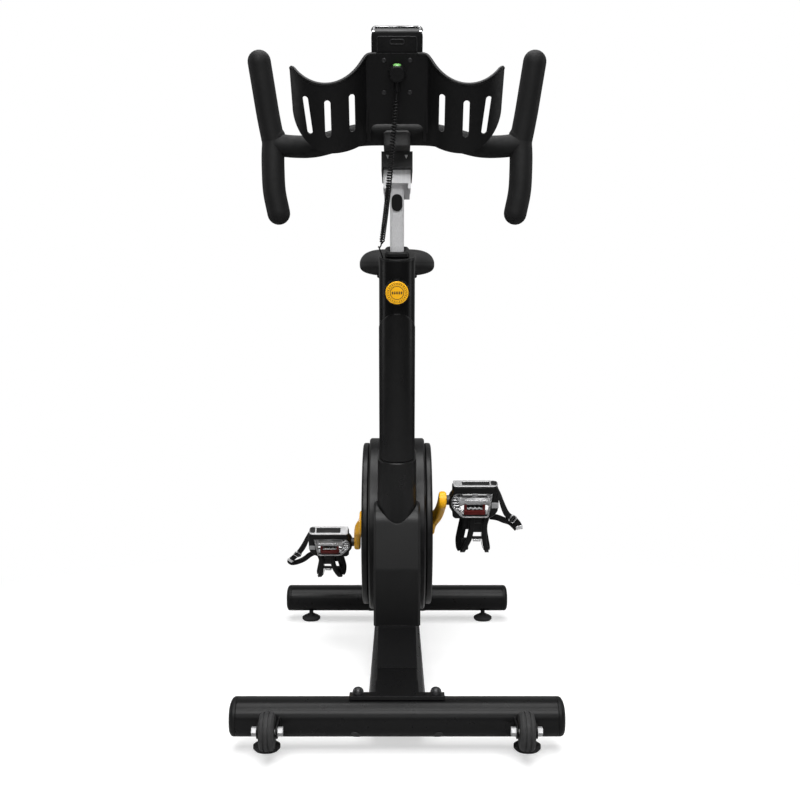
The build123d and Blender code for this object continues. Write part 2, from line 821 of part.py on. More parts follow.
def grip(side):
    """Coated side bar: a horn bent up and outwards above the crossbar and a bowed drop below it."""
    points = [
        (side * 231.5, bar_y - 32, 1134),
        (side * 216, bar_y - 3, 1030),
        (side * 211, bar_y + 2, 960),
        (side * 210, bar_y + 4, 925),
        (side * 203, bar_y + 8, 885),
    ]
    with BuildPart() as bar:
        with BuildLine() as path:
            FilletPolyline(*points, radius=60)
        with BuildSketch(Plane(origin=path.line @ 0, z_dir=path.line % 0)):
            Circle(bar_radius)
        sweep()
        with Locations(points[0], points[-1]):
            Sphere(bar_radius)
    return bar


grip_left = grip(-1)
grip_right = grip(1)
save(grip_left, "handlebar_grip_left")
save(grip_right, "handlebar_grip_right")

with BuildPart() as handlebar_crossbar:
    with BuildLine() as bar_path:
        FilletPolyline(
            (-212, bar_y, 1001), (-140, bar_y, 998), (-60, bar_y, bar_mid_z), (60, bar_y, bar_mid_z),
            (140, bar_y, 998), (212, bar_y, 1001), radius=70,
        )
    with BuildSketch(Plane(origin=bar_path.line @ 0, z_dir=bar_path.line % 0)):
        Circle(bar_radius)
        Circle(bar_radius - 6, mode=Mode.SUBTRACT)
    sweep()
    add(grip_left.part, mode=Mode.SUBTRACT)
    add(grip_right.part, mode=Mode.SUBTRACT)
save(handlebar_crossbar, "handlebar_crossbar")

# Winged tray: a wall that is flat in the middle and bulges forward in two bottle pockets
with BuildPart() as accessory_tray:
    below = tray_plane.origin - tray_plane.y_dir * 30
    section = Plane(origin=below, x_dir=(1, 0, 0), z_dir=tray_plane.y_dir)
    with BuildSketch(section):
        with BuildLine():
            Line((-50, 0), (50, 0))
            ThreePointArc((50, 0), (112, -36), (174, -4))
            Line((174, -4), (171.5, -1))
            ThreePointArc((171.5, -1), (112, -36 + tray_wall), (50, tray_wall))
            Line((50, tray_wall), (-50, tray_wall))
            ThreePointArc((-50, tray_wall), (-112, -36 + tray_wall), (-171.5, -1))
            Line((-171.5, -1), (-174, -4))
            ThreePointArc((-174, -4), (-112, -36), (-50, 0))
        make_face()
    extrude(amount=190)
    with BuildSketch(tray_plane.offset(-20)):
        with BuildLine():
            Line((-42, 148), (42, 148))
            ThreePointArc((42, 148), (50, 145), (56, 138))
            ThreePointArc((56, 138), (114, 109), (165, 128))
            ThreePointArc((165, 128), (170, 129.5), (173, 126))
            Line((173, 126), (171, 64))
            ThreePointArc((171, 64), (154, 17), (112, -6))
            ThreePointArc((112, -6), (78, -4), (52, 2))
            Line((52, 2), (44, 2))
            Line((44, 2), (44, 21))
            ThreePointArc((44, 21), (40, 29), (32, 32))
            Line((32, 32), (-32, 32))
            ThreePointArc((-32, 32), (-40, 29), (-44, 21))
            Line((-44, 21), (-44, 2))
            Line((-44, 2), (-52, 2))
            ThreePointArc((-52, 2), (-78, -4), (-112, -6))
            ThreePointArc((-112, -6), (-154, 17), (-171, 64))
            Line((-171, 64), (-173, 126))
            ThreePointArc((-173, 126), (-170, 129.5), (-165, 128))
            ThreePointArc((-165, 128), (-114, 109), (-56, 138))
            ThreePointArc((-56, 138), (-50, 145), (-42, 148))
        make_face()
    extrude(amount=80, mode=Mode.INTERSECT)
    with BuildSketch(tray_plane.offset(-20)):
        for side in (-1, 1):
            with Locations((side * 112, 52)):
                SlotOverall(61, 10, rotation=90)
            with Locations((side * 145, 56)):
                SlotOverall(62, 9, rotation=90 + side * -6)
            with Locations((side * 73, 58)):
                SlotOverall(62, 9, rotation=90)
    extrude(amount=80, mode=Mode.SUBTRACT)
    # Ribs carry the tray on the front of the crossbar.
    rib_end = bar_y - 14.5
    for side in (-1, 1):
        with BuildSketch(Plane.YZ.offset(side * 50 - 2.5)):
            with BuildLine():
                Polyline((-384, 1026), (-374, 1009), (rib_end, 1021), (rib_end, 1042), (-392, 1042), close=True)
            make_face()
        extrude(amount=5)
    add(handlebar_crossbar.part, mode=Mode.SUBTRACT)
save(accessory_tray, "accessory_tray")

# Console behind the top of the tray, its display facing the rider
console_mid = 144.0
with BuildPart() as console_case:
    with BuildSketch(tray_plane.offset(-tray_wall)):
        with Locations((0, console_mid)):
            RectangleRounded(86, 94, 10)
    extrude(amount=-26)
    chamfer(console_case.faces().sort_by(tray_axis)[0].edges(), 2.5)
    # Battery door recess on the back, with a finger notch.
    with BuildSketch(tray_plane.offset(-tray_wall - 1.5)):
        with Locations((0, 166)):
            RectangleRounded(64, 30, 4)
    extrude(amount=10, mode=Mode.SUBTRACT)
    with BuildSketch(tray_plane.offset(-tray_wall - 3.5)):
        with Locations((0, 175)):
            SlotOverall(20, 7)
    extrude(amount=10, mode=Mode.SUBTRACT)
    # Display pocket and button pockets on the rider's side.
    with BuildSketch(tray_plane.offset(-tray_wall - 26)):
        with Locations((0, console_mid + 12)):
            RectangleRounded(70, 52, 4)
    extrude(amount=1.5, mode=Mode.SUBTRACT)
    with BuildSketch(tray_plane.offset(-tray_wall - 26)):
        with Locations((-20, console_mid - 30), (20, console_mid - 30)):
            RectangleRounded(24, 14, 5)
    extrude(amount=4, mode=Mode.SUBTRACT)
save(console_case, "console_case")

with BuildPart() as console_screen:
    with BuildSketch(tray_plane.offset(-tray_wall - 26)):
        with Locations((0, console_mid + 12)):
            RectangleRounded(70, 52, 4)
    extrude(amount=1.5)
save(console_screen, "console_screen")


def console_button(x):
    """Push button that stands 1 mm proud of the console and travels 1 mm in."""
    with BuildPart() as button:
        with BuildSketch(tray_plane.offset(-tray_wall - 27)):
            with Locations((x, console_mid - 30)):
                RectangleRounded(23.2, 13.2, 4.6)
        extrude(amount=3)
    return button


save(console_button(-20), "console_button_left")
save(console_button(20), "console_button_right")

lead_exit = 90.0
lead_height = 9.0
with BuildPart() as lead_plug:
    with BuildSketch(tray_plane):
        with Locations((0, 119)):
            Circle(13.5)
    extrude(amount=17)
    chamfer(lead_plug.faces().sort_by(tray_axis)[-1].edges(), 2)
    stem = Plane(
        origin=tray_plane.from_local_coords((0, lead_exit, lead_height)),
        x_dir=(1, 0, 0),
        z_dir=tray_plane.y_dir,
    )
    with BuildSketch(stem):
        Circle(4.2)
    extrude(amount=20)
save(lead_plug, "lead_plug")

# The lead's middle line: out of the plug, down in a slack bow and into the plug of the column
lead_start = tray_plane.from_local_coords((0, lead_exit, lead_height))
lead_end = column_plane.from_local_coords((lead_hole_x, lead_hole_y, guide_lip))
lead_route = Edge.make_spline(
    [
        lead_start,
        (-3, -414, 1030),
        (-9, -396, 968),
        (-14, -366, 921),
        (-19, -330, 885),
        (-23.5, -302, 857),
        (-27, -285, 834),
        (-32, -268, 830),
        (-33, -250, 838),
        lead_end,
    ],
    tangents=[tray_plane.y_dir * -1, column_plane.z_dir * -1],
)
coil_from = 0.035
coil_to = 0.83


def lead_point(u):
    """Route point at u plus the coil: radius a*min(1, e/0.03) at angle 2*pi*turns*(u-u0)/(u1-u0),
    where e is the distance in u from the coil's nearer end."""
    base = lead_route.position_at(u)
    if u <= coil_from or u >= coil_to:
        return base
    along = lead_route.tangent_at(u)
    first = (Vector(1, 0, 0) - along * along.dot(Vector(1, 0, 0))).normalized()
    second = along.cross(first)
    swell = min(1.0, (u - coil_from) / 0.02, (coil_to - u) / 0.02)
    turn = 2 * pi * coil_turns * (u - coil_from) / (coil_to - coil_from)
    return base + (first * cos(turn) + second * sin(turn)) * coil_radius * swell


def lead_heading(u):
    """Unit tangent of the lead at u by a central difference."""
    step = 1e-5
    if u <= coil_from or u >= coil_to:
        return lead_route.tangent_at(u)
    return (lead_point(u + step) - lead_point(u - step)).normalized()


def biarc(p0, t0, p1, t1):
    """Two arcs from p0 to p1 with the end tangents t0 and t1 and equal arms d, where
    |v|^2 - 2d v.(t0 + t1) - 2d^2(1 - t0.t1) = 0."""
    v = p1 - p0
    vt = v.dot(t0 + t1)
    bend = 2 * (1 - t0.dot(t1))
    if bend < 1e-9:
        arm = v.dot(v) / (2 * vt)
    else:
        arm = (-vt + (vt * vt + bend * v.dot(v)) ** 0.5) / bend
    first = p0 + t0 * arm
    second = p1 - t1 * arm
    middle = (first + second) * 0.5
    heading = (second - first).normalized()
    return [Edge.make_tangent_arc(p0, t0, middle), Edge.make_tangent_arc(middle, heading, p1)]


quarter = (coil_to - coil_from) / (4 * coil_turns)
stations = [0.0, coil_from]
stations += [coil_from + quarter * k for k in range(1, 4 * coil_turns)]
stations += [coil_to + (1.0 - coil_to) * k / 6 for k in range(7)]
lead_edges = []
for u0, u1 in zip(stations, stations[1:]):
    lead_edges += biarc(lead_point(u0), lead_heading(u0), lead_point(u1), lead_heading(u1))
lead_wire = Wire(lead_edges)
samples = [lead_point(k / 1500) for k in range(1501)]
least = min(
    (samples[i] - samples[j]).length
    for i in range(0, 1501, 2)
    for j in range(i + 20, min(i + 120, 1501), 2)
)
print(f"console lead {lead_wire.length:.0f} mm, least gap to itself {least - 2 * lead_radius:.2f} mm")

with BuildPart() as console_lead:
    with BuildSketch(Plane(origin=lead_start, z_dir=lead_heading(0))):
        Circle(lead_radius)
    sweep(path=lead_wire)
save(console_lead, "console_lead")


# Clamp knobs and levers
def clamp_knob(plane, depth, drop, sign, reach):
    """Turning knob: a fluted round head, a neck through the tube wall and a tip just short of the post."""
    axis = plane * Pos(0, sign * depth / 2, -drop) * Rot(-90 * sign, 0, 0)
    with BuildPart() as knob:
        with BuildSketch(Plane(axis).offset(2)):
            Circle(23)
            with PolarLocations(26.5, 10):
                Circle(5, mode=Mode.SUBTRACT)
        extrude(amount=18)
        with BuildSketch(Plane(axis).offset(2)):
            Circle(6.9)
        extrude(amount=-reach)
    return knob


height_reach = column_depth / 2 + 2 - post_depth / 2 - post_fit - 0.2
height_knob = clamp_knob(column_plane, column_depth, knob_drop, -1, height_reach)
save(height_knob, "handlebar_height_knob")
with BuildPart() as knob_cap:
    front = column_plane * Pos(0, -column_depth / 2, -knob_drop) * Rot(90, 0, 0)
    with BuildSketch(Plane(front).offset(20)):
        Circle(20.5)
    extrude(amount=2.5)
    chamfer(knob_cap.faces().sort_by(Axis.Y)[0].edges(), 1)
save(knob_cap, "handlebar_knob_cap")
seat_reach = seat_depth / 2 + 2 - (post_depth - 8) / 2 - post_fit - 0.2
save(clamp_knob(seat_plane, seat_depth, seat_knob_drop, 1, seat_reach), "seat_height_knob")


def clamp_lever(y, top, node):
    """Cam lever under a rail: an upright hub with a flat paddle that points to the rear."""
    with BuildPart() as lever:
        with BuildSketch(Plane.XY.offset(top - 16)):
            with Locations((0, y)):
                Circle(9)
        extrude(amount=16)
        with BuildSketch(Plane.XY.offset(top - 15)):
            with Locations((0, y + 32)):
                SlotOverall(76, 14, rotation=90)
        extrude(amount=8)
    save(lever, node)


clamp_lever(-180, 942.2, "handlebar_reach_lever")

with BuildPart() as resistance_knob:
    behind = column_plane * Pos(0, column_depth / 2, -resistance_drop) * Rot(-90, 0, 0)
    with BuildSketch(Plane(behind).offset(3)):
        Circle(21)
        with PolarLocations(24, 12):
            Circle(4, mode=Mode.SUBTRACT)
    extrude(amount=30, taper=4)
    with BuildSketch(Plane(behind).offset(3)):
        Circle(5.95)
    extrude(amount=-14)
save(resistance_knob, "resistance_knob")

# Saddle
with BuildPart() as seat_post:
    with BuildSketch(seat_plane.offset(-190)):
        RectangleRounded(post_width, post_depth - 8, 6)
        RectangleRounded(post_width - 6, post_depth - 14, 3, mode=Mode.SUBTRACT)
    extrude(amount=330)
    split(bisect_by=Plane.XY.offset(saddle_rail_z + 2), keep=Keep.BOTTOM)
    with Locations((0, saddle_y - 10, saddle_rail_z + 12)):
        Box(44, 220, 24)
save(seat_post, "seat_post")

with BuildPart() as saddle_carriage:
    with BuildSketch(Plane.XZ.offset(-(saddle_y - 55))):
        with Locations((0, saddle_rail_z + 33)):
            Rectangle(52, 17.2)
        with Locations((-24.2, saddle_rail_z + 20), (24.2, saddle_rail_z + 20)):
            Rectangle(3.6, 14)
    extrude(amount=-110)
    with Locations((0, saddle_y, saddle_rail_z + 46)):
        Box(40, 70, 10)
save(saddle_carriage, "saddle_carriage")
clamp_lever(saddle_y + 20, saddle_rail_z - 0.3, "seat_reach_lever")

saddle_floor = 845.0
# Sections from nose to tail: y, half width, edge height, crown height
saddle_sections = [
    (182, 15, 851, 857),
    (196, 24, 855, 868),
    (240, 29, 860, 877),
    (300, 43, 862, 880),
    (360, 74, 866, 892),
    (405, 89, 870, 905),
    (436, 82, 872, 906),
    (452, 60, 866, 892),
]
# The base plate lies in the underside of the cushion, inside its rim.
plate_rim = 11.0
plate_thick = 5.0
plate_sections = [(w - plate_rim, y) for y, w, edge, crown in saddle_sections[1:-1]]
with BuildSketch(Plane.XY.offset(saddle_floor)) as plate_outline:
    with BuildLine():
        Spline(*plate_sections)
        Line(plate_sections[-1], (-plate_sections[-1][0], plate_sections[-1][1]))
        Spline(*[(-x, y) for x, y in reversed(plate_sections)])
        Line((-plate_sections[0][0], plate_sections[0][1]), plate_sections[0])
    make_face()
with BuildPart() as saddle_base:
    extrude(plate_outline.sketch, amount=plate_thick)
    with Locations((0, saddle_y, saddle_floor - 4)):
        Box(40, 70, 8)
save(saddle_base, "saddle_base")

with BuildPart() as saddle_cushion:
    for y, width, edge, crown in saddle_sections:
        with BuildSketch(Plane.XZ.offset(-y)):
            with BuildLine():
                Line((-width + 4, saddle_floor), (width - 4, saddle_floor))
                Line((width - 4, saddle_floor), (width, edge))
                ThreePointArc((width, edge), (0, crown), (-width, edge))
                Line((-width, edge), (-width + 4, saddle_floor))
            make_face()
    loft()
    extrude(plate_outline.sketch, amount=plate_thick, mode=Mode.SUBTRACT)
save(saddle_cushion, "saddle_cushion")
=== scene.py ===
"""Indoor cycling bike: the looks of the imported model, laid out as a Blender add-on and run as a script.

Shapes are worked out in millimetres as numpy grids and stored in metres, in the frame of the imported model:
+Z is up, -Y is the front of the bike and the origin lies on the floor under its middle.
"""

import json

import bmesh
import bpy
import numpy as np
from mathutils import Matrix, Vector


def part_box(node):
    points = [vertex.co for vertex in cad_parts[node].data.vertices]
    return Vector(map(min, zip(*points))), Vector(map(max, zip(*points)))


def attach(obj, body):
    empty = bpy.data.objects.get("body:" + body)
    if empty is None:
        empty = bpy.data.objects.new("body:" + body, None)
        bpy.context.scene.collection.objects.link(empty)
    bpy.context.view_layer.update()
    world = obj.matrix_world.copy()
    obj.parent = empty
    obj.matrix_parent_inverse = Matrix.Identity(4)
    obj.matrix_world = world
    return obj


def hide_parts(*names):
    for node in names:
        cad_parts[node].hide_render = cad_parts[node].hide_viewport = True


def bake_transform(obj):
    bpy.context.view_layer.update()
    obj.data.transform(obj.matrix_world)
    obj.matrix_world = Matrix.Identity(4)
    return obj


bl_info = {
    "name": "Indoor cycling bike",
    "version": (1, 0, 0),
    "blender": (4, 5, 0),
    "location": "View3D > Sidebar > Bike",
    "description": "Finishes and soft pieces of an indoor cycling bike",
    "category": "Object",
}

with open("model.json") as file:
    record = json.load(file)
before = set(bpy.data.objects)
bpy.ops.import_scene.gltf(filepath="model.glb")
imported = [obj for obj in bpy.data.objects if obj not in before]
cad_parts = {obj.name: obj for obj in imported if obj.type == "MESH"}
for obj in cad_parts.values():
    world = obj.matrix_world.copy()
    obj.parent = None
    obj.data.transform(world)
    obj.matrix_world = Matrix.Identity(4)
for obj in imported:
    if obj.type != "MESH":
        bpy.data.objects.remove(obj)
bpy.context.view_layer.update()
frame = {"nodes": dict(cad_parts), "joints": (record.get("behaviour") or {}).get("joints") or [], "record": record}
JOINTS = {joint["name"]: joint for joint in frame["joints"]}
SLOT_OF = {row["node"]: row["material_slot"] for row in frame["record"]["subparts"]}
SIDES = (("left", -1), ("right", 1))
RING = (True, True)  # wrap of a grid that closes both ways


# Sizes and places, in millimetres and degrees
COLUMN_TOP = (0.0, -208.0, 822.5)
COLUMN_LEAN = 14.3
COLUMN_WIDTH, COLUMN_DEPTH = 65.0, 105.0
TRAY_FOOT = (0.0, -363.5, 996.0)
TRAY_TILT = 31.0
PEDAL_LEAN = {"left": 37.0, "right": 21.5}
PEDAL_OUT = 151.5
BAR_Y = -323.5
BAR_RADIUS = 19.6
SADDLE_FLOOR = 845
CARRIAGE_LENGTH = 120
CONSOLE_FACE, CONSOLE_BACK = -24.9, -3.8  # heights on the tray's frame
OVAL_HALF_DEPTH, OVAL_HALF_HEIGHT, OVAL_POWER, OVAL_MID_Z = 35.0, 30.0, 2.3, 55.0
BEAM_SECTION = (95, 60, 15)  # width, height and corner radius
CAP_LENGTH, CAP_DOME = 12, 8
PLUG_DROP, PLUG_RADIUS, PLUG_X = 0.683, 7, 67  # the drop is a share of the oval's half height
BOLT_X = 63
BOLT_PROFILE = [(0, 24), (8, 24), (10, 26), (10, 28), (5, 28), (5, 91), (9, 91), (9, 95), (8.6, 97)]
BOLT_PROFILE += [(7.5, 99), (6.2, 100.5), (4.5, 101.5), (2.3, 102.3), (0, 102.5)]


def box_mm(node):
    """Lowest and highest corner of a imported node, in millimetres."""
    low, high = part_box(node)
    return np.array(low) * 1000, np.array(high) * 1000


def middle_mm(node):
    """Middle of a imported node's box, in millimetres."""
    return np.mean(box_mm(node), axis=0)


def joint_mm(name):
    """Point on a joint's axis, in millimetres."""
    return np.array(JOINTS[name]["pos_m"]) * 1000


# Shapes


def unit(v):
    """Vectors divided by their lengths."""
    return v / np.linalg.norm(v, axis=-1, keepdims=True)


def place(origin, x_dir, z_dir):
    """Function that carries local x, y, z arrays into the bike's frame: origin + x X + y Y + z Z."""
    x, z = unit(np.array(x_dir, float)), unit(np.array(z_dir, float))
    basis = np.stack([x, np.cross(z, x), z])
    return lambda p: np.asarray(p, float) @ basis + np.asarray(origin, float)


def leaning(origin, across, up):
    """Frame with the bike's +X as its x, and its z along (0, across, up)."""
    return place(origin, (1, 0, 0), (0, across, up))


COLUMN = leaning(COLUMN_TOP, -np.sin(np.radians(COLUMN_LEAN)), np.cos(np.radians(COLUMN_LEAN)))
TRAY = leaning(TRAY_FOOT, -np.cos(np.radians(TRAY_TILT)), -np.sin(np.radians(TRAY_TILT)))


def round_angles(count):
    """Angles of a full turn, without the last one."""
    return np.linspace(0, 2 * np.pi, count, endpoint=False)


def curve_through(points, count):
    """Catmull-Rom curve through the points: between P1 and P2 it is half of
    2 P1 + (P2 - P0) t + (2 P0 - 5 P1 + 4 P2 - P3) t^2 + (3 P1 - P0 - 3 P2 + P3) t^3."""
    p = np.asarray(points, float)
    p = np.vstack([2 * p[0] - p[1], p, 2 * p[-1] - p[-2]])
    u = np.linspace(0, len(p) - 3 - 1e-9, count)
    i = u.astype(int)
    t = (u - i)[:, None]
    a, b, c, d = p[i], p[i + 1], p[i + 2], p[i + 3]
    return 0.5 * (2 * b + (c - a) * t + (2 * a - 5 * b + 4 * c - d) * t**2 + (3 * b - a - 3 * c + d) * t**3)


def rounded_rectangle(width, height, radius, arc=6):
    """Closed outline: each corner's centre plus radius (cos a, sin a), with a over that corner's quarter
    turn. The radius is one number or one for each corner, from +x +y round to +x -y."""
    a = (np.arange(4)[:, None] * np.pi / 2 + np.linspace(0, np.pi / 2, arc)).ravel()
    corner = np.repeat([[1, 1], [-1, 1], [-1, -1], [1, -1]], arc, axis=0)
    radius = np.repeat(np.broadcast_to(np.maximum(radius, 0.2), 4), arc)[:, None]
    return corner * ([width / 2, height / 2] - radius) + radius * np.stack([np.cos(a), np.sin(a)], 1)


def box_outline(width, height, radius, arc=6):
    """Function of an inset that gives the same rounded outline drawn in by it."""
    return lambda i: rounded_rectangle(width - 2 * i, height - 2 * i, np.subtract(radius, i), arc)


def circle_outline(radius, count=48):
    """Function of an inset that gives a circle drawn in by it."""
    a = round_angles(count)
    return lambda i: (radius - i) * np.stack([np.cos(a), np.sin(a)], 1)


def star_outline(corners, centre, count=144):
    """Outline function round corner points, r(a) as seen from a centre, drawn in by the inset."""
    corners = np.array(corners + corners[:1], float)
    steps = np.linspace(0, len(corners) - 1, 40 * len(corners))
    way = np.stack([np.interp(steps, np.arange(len(corners)), corners[:, k]) for k in (0, 1)], 1) - centre
    a = np.arange(count) * 2 * np.pi / count
    r = np.interp(a, np.arctan2(way[:, 1], way[:, 0]), np.hypot(way[:, 0], way[:, 1]), period=2 * np.pi)
    return lambda inset: np.stack([np.cos(a), np.sin(a)], 1) * (r - inset)[:, None] + centre


def moved(outline, x, y):
    """Outline function moved sideways."""
    return lambda inset: outline(inset) + (x, y)


def circle_height(points, x, side):
    """Height at x on the circle through three points, on its upper (1) or lower (-1) half."""
    px, py = np.array(points, float).T
    cx, cy, rest = np.linalg.solve(np.stack([2 * px, 2 * py, np.ones(3)], 1), px**2 + py**2)
    return cy + side * np.sqrt(rest + cx**2 + cy**2 - (x - cx) ** 2)


def at_height(outline, z):
    """Flat outline lifted to a height, as a row of points."""
    return np.column_stack([outline, np.full(len(outline), z)])


def closed_ends(grid):
    """Adds a row at each end that gathers the end ring in its middle, so the ends are closed."""
    low = np.repeat(grid[0].mean(0)[None], grid.shape[1], axis=0)
    high = np.repeat(grid[-1].mean(0)[None], grid.shape[1], axis=0)
    return np.concatenate([low[None], grid, high[None]])


def slab(outline, z0, z1, edge=1.0, steps=4):
    """Solid between two heights with quarter-round rims: at e(1 - cos a) from a face the ring is drawn in
    by e(1 - sin a), and each face closes at its middle."""
    a = np.linspace(0, np.pi / 2, steps)
    inset = edge * (1 - np.sin(a))
    lift = edge * (1 - np.cos(a))
    rows = [at_height(outline(i), z0 + h) for i, h in zip(inset, lift)]
    rows += [at_height(outline(i), z1 - h) for i, h in zip(inset[::-1], lift[::-1])]
    return closed_ends(np.array(rows))


def block(x, y, width, height, z0, z1, radius=1.0, edge=0.6):
    """Slab with rounded corners, given by its middle, its size and its two heights."""
    return slab(moved(box_outline(width, height, radius), x, y), z0, z1, edge)


def collar(outer, inner, z0, z1, edge=1.0):
    """Closed ring between two outlines of equal counts, both functions of an inset, with chamfered rims."""
    rows = [(outer, edge, z0), (outer, 0, z0 + edge), (outer, 0, z1 - edge), (outer, edge, z1)]
    rows += [(inner, -edge, z1), (inner, 0, z1 - edge), (inner, 0, z0 + edge), (inner, -edge, z0)]
    return np.array([at_height(outline(inset), z) for outline, inset, z in rows])


def box_collar(outer, inner, z0, z1, edge, at=(0, 0), arc=6):
    """Collar between two rounded boxes, each a width, a height and a corner radius, about one middle."""
    return collar(moved(box_outline(*outer, arc), *at), moved(box_outline(*inner, arc), *at), z0, z1, edge)


def route_line(points):
    """Points of the NURBS line of order 3 whose control points are the route's points, in millimetres."""
    curve = bpy.data.curves.new("route", "CURVE")
    curve.dimensions, curve.resolution_u = "3D", 32
    spline = curve.splines.new("NURBS")
    spline.points.add(len(points) - 1)
    weighted = np.column_stack([np.array(points, float), np.ones(len(points))])
    spline.points.foreach_set("co", weighted.ravel())
    spline.use_endpoint_u = True
    spline.order_u = 3
    holder = bpy.data.objects.new("route", curve)
    mesh = bpy.data.meshes.new_from_object(holder)
    line = np.empty(len(mesh.vertices) * 3)
    mesh.vertices.foreach_get("co", line)
    bpy.data.objects.remove(holder)
    bpy.data.meshes.remove(mesh)
    bpy.data.curves.remove(curve)
    return line.reshape(-1, 3)


def oval_bar(stations, y, count=96):
    """Bar along x with a superellipse section: (x, y0 + a r cos(t)^(2/p), z0 + b r sin(t)^(2/p)) for each
    station (x, r)."""
    t = round_angles(count)
    wave = np.stack([np.cos(t), np.sin(t)])
    across, up = np.sign(wave) * np.abs(wave) ** (2 / OVAL_POWER)
    x, r = np.array(stations, float).T
    depth, height = OVAL_HALF_DEPTH * np.outer(r, across), OVAL_HALF_HEIGHT * np.outer(r, up)
    return np.stack([np.outer(x, np.ones(count)), y + depth, OVAL_MID_Z + height], 2)


def lathe(profile, count=48):
    """Surface of revolution about local z: (r cos a, r sin a, z) for each (r, z) of the profile."""
    r, z = np.array(profile, float).T
    a = round_angles(count)
    return np.stack([np.outer(r, np.cos(a)), np.outer(r, np.sin(a)), np.outer(z, np.ones(count))], 2)


def carry(path, outline, up=(0, 0, 1), scale=1.0):
    """Outline carried along a path: point + side x + normal y, where side = up x tangent and
    normal = tangent x side."""
    tangent = unit(np.gradient(path, axis=0))
    side = unit(np.cross(np.broadcast_to(np.array(up, float), path.shape), tangent))
    normal = np.cross(tangent, side)
    size = np.broadcast_to(np.asarray(scale, float), (len(path),))[:, None, None]
    offset = side[:, None] * outline[None, :, :1] + normal[:, None] * outline[None, :, 1:]
    return path[:, None] + size * offset


def rod(path, radius, up=(0, 0, 1), count=24, steps=7):
    """Round bar with domed ends: beyond each end a ring stands at r sin a along the tangent with radius
    r cos a."""
    radius = np.broadcast_to(np.asarray(radius, float), (len(path),))
    a = np.linspace(np.pi / 2, 0, steps)[:-1]
    first, last = unit(path[0] - path[1]), unit(path[-1] - path[-2])
    head = path[0] + first * (radius[0] * np.sin(a))[:, None]
    tail = path[-1] + last * (radius[-1] * np.sin(a[::-1]))[:, None]
    line = np.vstack([head, path, tail])
    size = np.concatenate([radius[0] * np.cos(a), radius, radius[-1] * np.cos(a[::-1])])
    return carry(line, circle_outline(1, count)(0), up, size)


def grid_faces(rows, cols, wrap_rows, wrap_cols):
    """Quads of a grid as indices, and the row and column counters of their corners for the UV map."""
    steps = (np.arange(rows if wrap_rows else rows - 1), np.arange(cols if wrap_cols else cols - 1))
    i, j = (counter.ravel() for counter in np.meshgrid(*steps, indexing="ij"))
    corner_i = np.stack([i, i, i + 1, i + 1], 1)
    corner_j = np.stack([j, j + 1, j + 1, j], 1)
    return (corner_i % rows) * cols + corner_j % cols, corner_i, corner_j


def running_length(grid, axis, wrap):
    """Mean running length along one direction of a grid, with one more entry for a closed one."""
    steps = np.linalg.norm(np.diff(grid, axis=axis), axis=2).mean(1 - axis)
    total = np.concatenate([[0.0], np.cumsum(steps)])
    return np.append(total, total[-1] + steps[-1]) if wrap else total


def piece(name, grids, coat, body, stands_for=None, wrap=(False, True), sharp=40.0):
    """Makes one mesh from grids in millimetres. Equal points are merged, which closes seams and poles,
    the UV map holds the running lengths in metres, and edges sharper than the angle stay sharp."""
    points, faces, uvs, start = [], [], [], 0
    for grid in grids if isinstance(grids, list) else [grids]:
        rows, cols = grid.shape[:2]
        quads, ci, cj = grid_faces(rows, cols, *wrap)
        along, around = running_length(grid, 0, wrap[0]), running_length(grid, 1, wrap[1])
        points.append(grid.reshape(-1, 3) / 1000)
        faces.append(quads + start)
        uvs.append(np.stack([along[ci], around[cj]], 2).reshape(-1, 2) / 1000)
        start += rows * cols
    mesh = bpy.data.meshes.new(name)
    mesh.from_pydata(np.concatenate(points).tolist(), [], np.concatenate(faces).tolist())
    run = mesh.uv_layers.new(name="run")
    run.data.foreach_set("uv", np.concatenate(uvs).astype(np.float32).ravel())
    shape = bmesh.new()
    shape.from_mesh(mesh)
    bmesh.ops.remove_doubles(shape, verts=shape.verts, dist=1e-6)
    bmesh.ops.dissolve_degenerate(shape, dist=1e-7, edges=shape.edges)
    bmesh.ops.recalc_face_normals(shape, faces=shape.faces)
    shape.to_mesh(mesh)
    shape.free()
    mesh.polygons.foreach_set("use_smooth", np.ones(len(mesh.polygons), bool))
    mesh.set_sharp_from_angle(angle=np.radians(sharp))
    mesh.materials.append(finish(coat))
    made = bpy.data.objects.new(name, mesh)
    bpy.context.scene.collection.objects.link(made)
    if body:
        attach(made, body)
    if stands_for:
        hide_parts(stands_for)
    return made


# Finishes


def add_node(tree, kind, links=(), **settings):
    """New node with settings as attributes and links as (socket, source) pairs; a plain value is set."""
    node = tree.nodes.new(kind)
    for key, value in settings.items():
        setattr(node, key, value)
    for socket, source in links:
        if isinstance(source, bpy.types.NodeSocket):
            tree.links.new(source, node.inputs[socket])
        else:
            node.inputs[socket].default_value = source
    return node


def map_range(tree, source, start, end, low, high, step="LINEAR"):
    """Value that goes from low to high as the source goes from start to end, and stays within them."""
    links = [("Value", source), ("From Min", start), ("From Max", end), ("To Min", low), ("To Max", high)]
    return add_node(tree, "ShaderNodeMapRange", links, interpolation_type=step).outputs["Result"]


